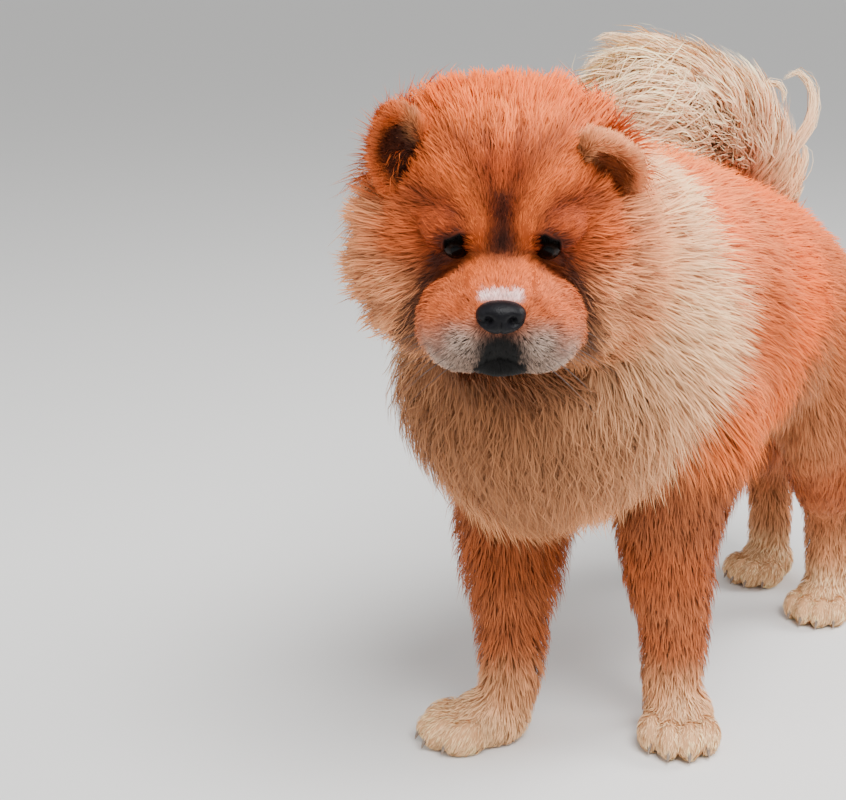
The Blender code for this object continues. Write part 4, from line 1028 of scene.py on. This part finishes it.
# Materials
class Wire:
    # Wraps a socket, so that shader maths can be written as ordinary expressions.
    def __init__(self, tree, socket):
        self.tree = tree
        self.socket = socket

    def node(self, kind, settings=None, inputs=None, output=0):
        # Any node: its type, its settings and the values or links of its sockets.
        made = self.tree.nodes.new(kind)
        for key, value in (settings or {}).items():
            setattr(made, key, value)
        for key, value in (inputs or {}).items():
            socket = made.inputs[key]
            if isinstance(value, Wire):
                self.tree.links.new(value.socket, socket)
            else:
                socket.default_value = value
        return Wire(self.tree, made.outputs[output])

    def maths(self, operation, other, swap=False):
        pair = (other, self) if swap else (self, other)
        return self.node("ShaderNodeMath", {"operation": operation}, {0: pair[0], 1: pair[1]})

    def __add__(self, other):
        return self.maths("ADD", other)

    __radd__ = __add__

    def __sub__(self, other):
        return self.maths("SUBTRACT", other)

    def __rsub__(self, other):
        return self.maths("SUBTRACT", other, True)

    def __mul__(self, other):
        return self.maths("MULTIPLY", other)

    __rmul__ = __mul__

    def mixed(self, factor, other):
        # From this colour to another one, by a factor.
        return self.node("ShaderNodeMix", {"data_type": "RGBA"},
                         {0: factor, 6: self, 7: other}, output=2)


def newMaterial(name, roughness, **constants):
    material = bpy.data.materials.new(name)
    material.use_nodes = True
    shader = material.node_tree.nodes["Principled BSDF"]
    shader.inputs["Roughness"].default_value = roughness
    for key, value in constants.items():
        shader.inputs[key.replace("_", " ")].default_value = value
    return material, shader, Wire(material.node_tree, None)


def settle(piece, slot, *nodes):
    # Every piece rides on the one body. Some of them stand for nodes of the frame.
    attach(piece, "root")
    if nodes:
        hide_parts(*nodes)


def link(wire, shader, socket):
    wire.tree.links.new(wire.socket, shader.inputs[socket])


furLook = {"roughness": 0.66, "streakScale": 420.0, "streak": 0.22}


def makeFurMaterial():
    # The blades' own colours, darkened here and there by a fine grain.
    material, shader, start = newMaterial("coatHair", furLook["roughness"],
                                          Specular_IOR_Level=0.22)
    tint = start.node("ShaderNodeAttribute", {"attribute_name": "tint"})
    place = start.node("ShaderNodeTexCoord", output=3)
    grain = start.node("ShaderNodeTexNoise", inputs={"Vector": place, "Detail": 2.0,
                                                     "Scale": furLook["streakScale"]})
    darker = tint.node("ShaderNodeMix", {"data_type": "RGBA", "blend_type": "MULTIPLY"},
                       {0: furLook["streak"], 6: tint, 7: (0.35, 0.30, 0.28, 1)}, output=2)
    link(tint.mixed(grain * 0.9 - 0.15, darker), shader, "Base Color")
    return material


shortLook = {"roughness": 0.75, "grainScale": 520.0, "shade": 0.5, "bumpHeight": 0.0012}


def makeSkinMaterial():
    # Fine streaks that are stretched upwards stand for the hairs too short for a tuft.
    material, shader, start = newMaterial("shortCoat", shortLook["roughness"],
                                          Specular_IOR_Level=0.15)
    tint = start.node("ShaderNodeAttribute", {"attribute_name": "tint"})
    place = start.node("ShaderNodeTexCoord", output=3)
    stretch = start.node("ShaderNodeMapping", {}, {"Vector": place, "Scale": (1.0, 1.0, 0.35)})
    grain = start.node("ShaderNodeTexNoise", inputs={"Vector": stretch, "Detail": 4.0,
                                                     "Scale": shortLook["grainScale"],
                                                     "Roughness": 0.6})
    darker = tint.node("ShaderNodeMix", {"data_type": "RGBA", "blend_type": "MULTIPLY"},
                       {0: shortLook["shade"], 6: tint, 7: (0.4, 0.34, 0.30, 1)}, output=2)
    link(tint.mixed(grain, darker), shader, "Base Color")
    bump = start.node("ShaderNodeBump", {}, {"Strength": 0.55, "Height": grain,
                                             "Distance": shortLook["bumpHeight"]})
    link(bump, shader, "Normal")
    return material


furMaterial = makeFurMaterial()
skinMaterial = makeSkinMaterial()
skinData.materials.append(skinMaterial)
fleshNodes = ["head", "ear_left", "ear_right", "neck_ruff", "torso", "tail",
              "foreleg_left", "foreleg_right", "forepaw_left", "forepaw_right", "thigh_left",
              "thigh_right", "hock_left", "hock_right", "hindpaw_left", "hindpaw_right"]
settle(skin, "orange_fur", *fleshNodes)


# Eyes and nose
def gridBall(middle, columns, rows, shape):
    # A unit ball on a grid of turn and tilt, closed by one point at each pole, then shaped.
    turn = np.arange(columns) * 2 * math.pi / columns
    tilt = math.pi * (np.arange(rows) + 1) / (rows + 1)
    t, f = np.meshgrid(turn, tilt)
    ring = np.stack([np.sin(f) * np.cos(t), -np.cos(f), np.sin(f) * np.sin(t)], -1).reshape(-1, 3)
    ring = np.vstack([ring, (0, -1, 0), (0, 1, 0)])
    i, j = np.meshgrid(np.arange(columns), np.arange(rows - 1))
    n = (i + 1) % columns
    quads = np.stack([j * columns + i, (j + 1) * columns + i, (j + 1) * columns + n,
                      j * columns + n], -1).reshape(-1, 4)
    last = columns * rows
    c = np.arange(columns)
    near = np.stack([np.full(columns, last), c, (c + 1) % columns], 1)
    base = columns * (rows - 1)
    far = np.stack([np.full(columns, last + 1), base + (c + 1) % columns, base + c], 1)
    return shape(ring) + middle, [quads, np.vstack([near, far])], ring


eyeLook = {
    "iris": 0.62, "pupil": 0.34, "bulge": 0.0009, "white": (22, 15, 12), "brown": (26, 13, 7),
    "black": (4, 4, 5), "roughness": 0.20, "specular": 0.07,
}


def makeEye(side):
    # A ball set deep behind the lids, coloured by the distance off its axis.
    radius = face["eyeRadius"]

    def shape(ring):
        # The clear front bulges a little where the ball looks forward.
        front = smooth(0.80, 0.97, -ring[:, 1])
        return ring * (radius + eyeLook["bulge"] * front)[:, None]

    middle = np.array(face["eye"]) * (side, 1, 1)
    points, faces, ring = gridBall(middle, 40, 28, shape)
    name = "eye_left_ball" if side > 0 else "eye_right_ball"
    ball = meshFrom(name, fromHead(points), faces)
    off = np.hypot(ring[:, 0], ring[:, 2])
    pupil = smooth(eyeLook["pupil"] + 0.03, eyeLook["pupil"] - 0.03, off)
    iris = smooth(eyeLook["iris"] + 0.05, eyeLook["iris"] - 0.05, off) * (ring[:, 1] < 0)
    base = linear(eyeLook["white"])[None] * np.ones((len(ring), 1))
    base = base * (1 - iris[:, None]) + linear(eyeLook["brown"]) * iris[:, None]
    base = base * (1 - pupil[:, None]) + linear(eyeLook["black"]) * pupil[:, None]
    addColours(ball, base)
    ball.data.materials.append(eyeMaterial)
    settle(ball, "eye", "eye_left" if side > 0 else "eye_right")


def makeEyeMaterial():
    material, shader, start = newMaterial("wetEye", eyeLook["roughness"], Coat_Weight=0.03,
                                          Coat_Roughness=0.05,
                                          Specular_IOR_Level=eyeLook["specular"])
    link(start.node("ShaderNodeAttribute", {"attribute_name": "tint"}), shader, "Base Color")
    return material


eyeMaterial = makeEyeMaterial()
for side in (1, -1):
    makeEye(side)

noseLook = {"radii": (0.0196, 0.0138, 0.0134), "tilt": -12, "pit": 0.0070}


def makeNose():
    tilt = turned(noseLook["tilt"], "X")

    def shape(ring):
        # A rounded wedge, wide above and narrow below, with a groove down its middle, a pit for
        # each nostril and a slit that runs from the pit to the side.
        x, y, z = ring[:, 0], ring[:, 1], ring[:, 2]
        wide = 1.0 - 0.16 * smooth(0.0, -1.0, z) + 0.05 * smooth(-0.2, 0.5, z)
        flat = np.sign(z) * np.abs(z) ** 0.86
        p = np.stack([np.sign(x) * np.abs(x) ** 0.88 * wide, y, flat], 1)
        p *= np.array(noseLook["radii"])
        front = smooth(0.1, -0.4, y)
        ax = np.abs(p[:, 0])
        pit = np.exp(-((ax - 0.0100) / 0.0045) ** 2 - ((p[:, 2] + 0.0005) / 0.0038) ** 2)
        slit = np.exp(-((p[:, 2] + 0.0045 - 0.30 * (ax - 0.011)) / 0.0016) ** 2)
        slit = slit * smooth(0.008, 0.012, ax)
        groove = np.exp(-(ax / 0.0010) ** 2) * smooth(0.003, -0.004, p[:, 2])
        wing = np.exp(-((ax - 0.0140) / 0.003) ** 2 - ((p[:, 2] - 0.002) / 0.005) ** 2)
        sink = noseLook["pit"] * pit + 0.0022 * slit + 0.0016 * groove - 0.0010 * wing
        inward = unit(ring * np.array((0.4, 1.0, 0.4)))
        return (p - inward * (sink * front)[:, None]) @ tilt.T

    points, faces, ring = gridBall(np.array(face["nose"]), 96, 72, shape)
    nose = meshFrom("nose_leather", fromHead(points), faces)
    nose.data.materials.append(makeNoseMaterial())
    settle(nose, "nose_skin", "nose")


def makeNoseMaterial():
    # Near black leather of small cells, with soft changes in its gloss.
    material, shader, start = newMaterial("noseLeather", 0.46, Coat_Weight=0.02,
                                          Coat_Roughness=0.30, Specular_IOR_Level=0.09)
    place = start.node("ShaderNodeTexCoord", output=3)
    cells = start.node("ShaderNodeTexVoronoi", {"feature": "SMOOTH_F1"},
                       {"Vector": place, "Scale": 900.0, "Smoothness": 0.35})
    soft = start.node("ShaderNodeTexNoise", inputs={"Vector": place, "Scale": 160.0})
    dark = start.node("ShaderNodeRGB")
    dark.socket.default_value = (0.003, 0.003, 0.004, 1)
    link(dark.mixed(soft * 0.6, (0.009, 0.008, 0.010, 1)), shader, "Base Color")
    link(0.30 + soft * 0.22, shader, "Roughness")
    bump = start.node("ShaderNodeBump", {"invert": True}, {"Strength": 0.35, "Distance": 0.0006,
                                                           "Height": cells})
    link(bump, shader, "Normal")
    return material


makeNose()
print("eyes and nose")


# Claws and whiskers
def sweep(paths, radii, sides, name):
    # Round bars along many paths at once, each closed by a point at its far end.
    count, rings = paths.shape[:2]
    along = unit(np.gradient(paths, axis=1))
    side = unit(np.cross(along, np.array((0.13, 0.21, 0.97))))
    upward = np.cross(along, side)
    turn = np.arange(sides) * 2 * math.pi / sides
    ring = (side[:, :, None] * np.cos(turn)[None, None, :, None]
            + upward[:, :, None] * np.sin(turn)[None, None, :, None])
    points = paths[:, :, None] + ring * radii[:, :, None, None]
    points = np.concatenate([points.reshape(count, -1, 3), paths[:, :1] - along[:, :1] * 0.0004,
                             paths[:, -1:] + along[:, -1:] * radii[:, -1:, None]], 1)
    k = np.arange(sides)
    n = (k + 1) % sides
    quads = np.concatenate([np.stack([r * sides + k, (r + 1) * sides + k, (r + 1) * sides + n,
                                      r * sides + n], 1)[:, ::-1] for r in range(rings - 1)])
    start, end = rings * sides, rings * sides + 1
    caps = np.concatenate([np.stack([np.full(sides, start), n, k], 1)[:, ::-1],
                           np.stack([np.full(sides, end), (rings - 1) * sides + k,
                                     (rings - 1) * sides + n], 1)[:, ::-1]])
    base = (np.arange(count) * points.shape[1])[:, None, None]
    return meshFrom(name, points.reshape(-1, 3),
                    [(quads[None] + base).reshape(-1, 4), (caps[None] + base).reshape(-1, 3)])


clawLook = {"length": 0.0070, "thick": 0.0026, "root": (0.10, 0.07, 0.05, 1),
            "tip": (0.34, 0.25, 0.19, 1)}
whiskerLook = {"count": 11, "shortest": 0.035, "longest": 0.060, "thick": 0.00030,
               "colour": (0.05, 0.035, 0.03, 1)}


def makeClaws():
    # Each claw runs forward from its toe and bends down by the square of the way along it.
    paths, radii = [], []
    t = np.linspace(0, 1, 7)
    for (x, y), turn, size in paws.values():
        way = turned(turn, "Z")
        for toeX, toeY in toes:
            outward = toeX * 0.35
            reach = toeY - 0.019
            line = np.stack([toeX + outward * t * 0.25, reach - clawLook["length"] * t,
                             0.0150 - 0.0015 * t - 0.0095 * t**2], 1) * size
            paths.append(np.array((x, y, 0)) + line @ way.T)
            radii.append((clawLook["thick"] * (1 - t) ** 0.6 + 0.0005) * size)
    claws = sweep(np.array(paths), np.array(radii), 8, "claws")
    material, shader, start = newMaterial("clawHorn", 0.35, Coat_Weight=0.2)
    place = start.node("ShaderNodeTexCoord", output=3)
    streak = start.node("ShaderNodeTexNoise", inputs={"Vector": place, "Scale": 500.0})
    dark = start.node("ShaderNodeRGB")
    dark.socket.default_value = clawLook["root"]
    link(dark.mixed(streak, clawLook["tip"]), shader, "Base Color")
    claws.data.materials.append(material)
    settle(claws, "nose_skin")


def makeWhiskers():
    # Each whisker leaves the muzzle sideways and sags by the square of the way along it.
    paths, radii = [], []
    t = np.linspace(0, 1, 7)[:, None]
    for side in (1, -1):
        for n in range(whiskerLook["count"]):
            row, column = divmod(n, 4)
            spot = np.array((0.034 + 0.005 * column, -0.079 + 0.010 * column,
                             -0.046 - 0.009 * row))
            spot = spot * (side, 1, 1)
            way = unit(np.array((side * 0.9, -0.25 + 0.25 * column, -0.25 - 0.15 * row)))
            way = way + chance.normal(0, 0.08, 3)
            length = chance.uniform(whiskerLook["shortest"], whiskerLook["longest"])
            line = spot + way * t * length + np.array((0, 0.2, -0.35)) * t**2 * length
            paths.append(fromHead(line))
            radii.append(whiskerLook["thick"] * (1 - t[:, 0]) + 0.00007)
    whiskers = sweep(np.array(paths), np.array(radii), 5, "whiskers")
    material, shader, start = newMaterial("whiskerHair", 0.4)
    shader.inputs["Base Color"].default_value = whiskerLook["colour"]
    whiskers.data.materials.append(material)
    settle(whiskers, "rust_fur")


makeClaws()
makeWhiskers()
print("claws and whiskers")


# The coat
def isGroup(*names):
    # 1 on the skin's triangles of the named groups, 0 elsewhere.
    return np.isin(triGroup, [groupNames.index(n) for n in names]).astype(float)


headX, headY, headZ = np.abs(triHead[:, 0]), triHead[:, 1], triHead[:, 2]
faceArea = smooth(0.012, 0.002, headY) * smooth(0.085, 0.070, headX) * smooth(0.085, 0.06, headZ)
faceArea = faceArea * isGroup("head")
restArea = isGroup("head") * (1 - faceArea)
leftSide = (triMiddle[:, 0] > 0).astype(float)

def underCoat(where, count, rings, width, seed, **other):
    # Broad short blades that close the gaps between the fine ones.
    return tufts({"where": where, "count": count, "rings": rings, "width": width,
                  "length": 0.75, "rise": 0.66, "clump": 0.02, "gather": 0.3, "seed": seed,
                  **other})


coatPiece("coat_face", "rust_fur", [
    tufts({"where": faceArea, "count": 60000, "rings": 2, "width": 0.00085, "clump": 0.005,
           "gather": 0.4, "wander": 12, "seed": 2, "vary": 0.17}),
])
coatPiece("coat_head", "rust_fur", [
    tufts({"where": restArea, "count": 4500, "rings": 3, "width": 0.0045, "length": 0.72,
           "rise": 0.60, "gather": 0.3, "seed": 3}),
    tufts({"where": restArea, "count": 34000, "rings": 3, "width": 0.0012, "clump": 0.011,
           "gather": 0.45, "wander": 9, "seed": 4}),
])
coatPiece("coat_ears", "rust_fur", [
    tufts({"where": isGroup("ears"), "count": 15000, "rings": 2, "width": 0.0009,
           "clump": 0.006, "gather": 0.4, "length": 0.42, "rise": 0.25, "wander": 14, "free": True,
           "seed": 5}),
])
coatPiece("coat_ruff", "cream_fur", [
    underCoat(isGroup("ruff"), 3500, 4, 0.0060, 6),
    tufts({"where": isGroup("ruff"), "count": 24000, "rings": 4, "width": 0.0015,
           "clump": 0.015, "gather": 0.55, "seed": 7, "hang": 0.2}),
])
coatPiece("coat_chest", "cream_fur", [
    underCoat(isGroup("chest"), 3000, 4, 0.0055, 8, hang=0.3),
    tufts({"where": isGroup("chest"), "count": 19500, "rings": 5, "width": 0.0014,
           "clump": 0.015, "gather": 1.05, "wave": 2.2, "curl": 12.0, "droop": 0.05, "hang": 0.30,
           "wander": 7, "vary": 0.18, "seed": 9}),
])
for sideName, half, share in (("left", leftSide, 1.0), ("right", 1 - leftSide, 0.75)):
    coatPiece("coat_torso_" + sideName, "orange_fur", [
        underCoat(isGroup("torso") * half, 3200 * share, 3, 0.0055, 10),
        tufts({"where": isGroup("torso") * half, "count": 23000 * share, "rings": 3,
               "width": 0.0015, "clump": 0.014, "gather": 0.5, "hang": 0.25, "seed": 11}),
    ])
coatPiece("coat_thighs", "orange_fur", [
    underCoat(isGroup("thighs"), 4000, 3, 0.0050, 12, clump=0.016),
    tufts({"where": isGroup("thighs"), "count": 25000, "rings": 3, "width": 0.0014,
           "clump": 0.014, "gather": 0.65, "seed": 13}),
])
coatPiece("coat_legs", "orange_fur", [
    tufts({"where": isGroup("legs"), "count": 30000, "rings": 3, "width": 0.0012,
           "clump": 0.010, "gather": 0.5, "seed": 14}),
    tufts({"where": isGroup("paws"), "count": 14000, "rings": 2, "width": 0.0010,
           "clump": 0.007, "gather": 0.35, "seed": 15}),
])

# Loose locks of the tail: points along each, then how many strands and how thick it is.
wisps = [
    ([(-0.003, 0.131, 0.552), (0.012, 0.151, 0.574), (0.024, 0.170, 0.601),
      (0.024, 0.180, 0.631), (0.013, 0.180, 0.655), (-0.002, 0.170, 0.661),
      (-0.008, 0.162, 0.650)], 230, 0.0062),
    ([(0.001, 0.129, 0.536), (0.017, 0.142, 0.539), (0.026, 0.155, 0.555),
      (0.027, 0.162, 0.574), (0.018, 0.159, 0.585)], 150, 0.0050),
    ([(-0.002, 0.124, 0.531), (0.012, 0.133, 0.524), (0.026, 0.144, 0.524),
      (0.032, 0.152, 0.535)], 120, 0.0045),
    ([(-0.050, -0.020, 0.650), (-0.072, -0.041, 0.668), (-0.098, -0.056, 0.680),
      (-0.116, -0.071, 0.678), (-0.120, -0.078, 0.668)], 260, 0.0085),
    ([(-0.040, -0.010, 0.665), (-0.058, -0.025, 0.684), (-0.086, -0.040, 0.699),
      (-0.107, -0.055, 0.705), (-0.118, -0.065, 0.699)], 260, 0.0085),
    ([(-0.028, 0.005, 0.670), (-0.055, -0.012, 0.694), (-0.080, -0.031, 0.702),
      (-0.100, -0.048, 0.699)], 240, 0.0085),
    ([(-0.030, 0.120, 0.610), (-0.030, 0.141, 0.637), (-0.017, 0.155, 0.648),
      (-0.004, 0.161, 0.639), (-0.003, 0.156, 0.624)], 160, 0.0050),
]


def looseLocks(rings=7):
    # Strands beside one path, spread most before its middle and drawn together at its tip.
    parts = []
    for path, count, thick in wisps:
        count = int(0.6 * count * (1))
        line = spline(path, 8)
        measure = np.concatenate([[0], np.cumsum(np.linalg.norm(np.diff(line, axis=0), axis=1))])
        t = np.linspace(0, 1, rings + 1)
        offset = chance.normal(0, 0.85, (count, 3)) * thick
        reach = 1 - 0.55 * chance.random(count) ** 1.5
        stations, uppers = [], []
        for s in t:
            at = s * reach * measure[-1]
            middle = np.stack([np.interp(at, measure, line[:, i]) for i in range(3)], 1)
            close = 0.55 + 0.9 * s - 1.25 * s * s
            stations.append(middle + offset * close)
            uppers.append(unit(offset + np.array((0.2, -0.5, 0.6)) * thick))
        width = 0.0012 * chance.uniform(0.7, 1.3, count)
        near = np.linalg.norm(triMiddle - line[0], axis=1) + chance.uniform(0, 0.02, len(triMiddle))
        spot = np.tile(loopUv[triLoops[near.argmin()]].mean(0), (count, 1))
        spot = spot + chance.uniform(-0.004, 0.004, (count, 2))
        low = np.tile(palette["plumeShade"] * 0.6 + palette["plume"] * 0.4, (count, 1))
        high = np.tile(palette["plume"], (count, 1))
        tone = np.clip(1 + 0.08 * chance.normal(size=count), 0.7, 1.3)
        parts.append(blades(stations, uppers, width, np.radians(35) * chance.normal(size=count),
                            low, high, tone, spot, 0.8))
    return parts


coatPiece("coat_tail", "pale_fur", [
    underCoat(isGroup("tail"), 2500, 5, 0.0055, 16, rise=0.7, wander=6),
    tufts({"where": isGroup("tail"), "count": 12000, "rings": 6, "width": 0.0016,
           "clump": 0.030, "gather": 1.15, "wave": 2.0, "curl": 5.0, "wander": 3, "vary": 0.14,
           "seed": 17}),
] + looseLocks())


# Floor, light and camera
studio = {"floor": (0.74, 0.735, 0.72, 1), "reach": 45.0, "cells": 40,
          "wall": (0.80, 0.80, 0.80, 1), "sky": 0.92}


def makeFloor():
    # A pale level floor, a square grid that reaches past the top of the picture.
    n = studio["cells"] + 1
    t = np.linspace(-1, 1, n) * studio["reach"]
    x, y = np.meshgrid(t, t)
    z = np.full_like(x, -0.0004)
    points = np.stack([x, y, z], -1).reshape(-1, 3)
    i, j = np.meshgrid(np.arange(n - 1), np.arange(n - 1))
    quads = np.stack([j * n + i, j * n + i + 1, (j + 1) * n + i + 1, (j + 1) * n + i],
                     -1).reshape(-1, 4)
    floor = meshFrom("floor", points - shift, quads)
    material, shader, start = newMaterial("studioFloor", 0.8)
    shader.inputs["Base Color"].default_value = studio["floor"]
    floor.data.materials.append(material)


makeFloor()
world = bpy.data.worlds.new("studio")
world.use_nodes = True
world.node_tree.nodes["Background"].inputs["Color"].default_value = studio["wall"]
world.node_tree.nodes["Background"].inputs["Strength"].default_value = studio["sky"]
bpy.context.scene.world = world


def areaLight(name, place, target, size, power):
    # A soft disk of light that faces its target.
    data = bpy.data.lights.new(name, "AREA")
    data.shape = "DISK"
    data.size = size
    data.energy = power
    lamp = bpy.data.objects.new(name, data)
    lamp.location = place
    way = Vector(target) - Vector(place)
    lamp.rotation_euler = way.to_track_quat("-Z", "Y").to_euler()
    bpy.context.scene.collection.objects.link(lamp)


# Soft round lamps: place, the point they face, width across and power.
lamps = {
    "overhead": ((1.3, -1.0, 2.9), (0, 0, 0.4), 2.0, 185),
    "front": ((-1.4, -2.6, 1.9), (0, -0.3, 0.4), 1.8, 18),
    "back": ((1.6, 2.0, 2.0), (0, 0, 0.5), 1.6, 78),
}
for name, values in lamps.items():
    areaLight(name, *values)

# Seen from the dog's front left, from standing height, looking a little down. The focal length
# is in widths of a picture 846 across, and the place is from the middle of the dog's frame.
cameraLook = {"azimuth": 38.0, "pitch": 15.5, "focal": 1650.0 / 846, "aside": -0.3115,
              "back": 1.759, "height": 0.80}


def makeCamera():
    # The camera's axes follow from the azimuth on the floor and the pitch below the horizon.
    azimuth, pitch = math.radians(cameraLook["azimuth"]), math.radians(cameraLook["pitch"])
    data = bpy.data.cameras.new("camera")
    data.sensor_fit = "HORIZONTAL"
    data.sensor_width = 36.0
    data.lens = data.sensor_width * cameraLook["focal"]
    data.clip_start = 0.05
    camera = bpy.data.objects.new("camera", data)
    right = Vector((math.cos(azimuth), math.sin(azimuth), 0))
    ahead = Vector((-math.sin(azimuth), math.cos(azimuth), 0))
    camera.location = (right * cameraLook["aside"] - ahead * cameraLook["back"]
                       + Vector((0, 0, cameraLook["height"])) + Vector(shift))
    way = ahead * math.cos(pitch) - Vector((0, 0, math.sin(pitch)))
    camera.rotation_euler = way.to_track_quat("-Z", "Y").to_euler()
    bpy.context.scene.collection.objects.link(camera)
    bpy.context.scene.camera = camera


makeCamera()
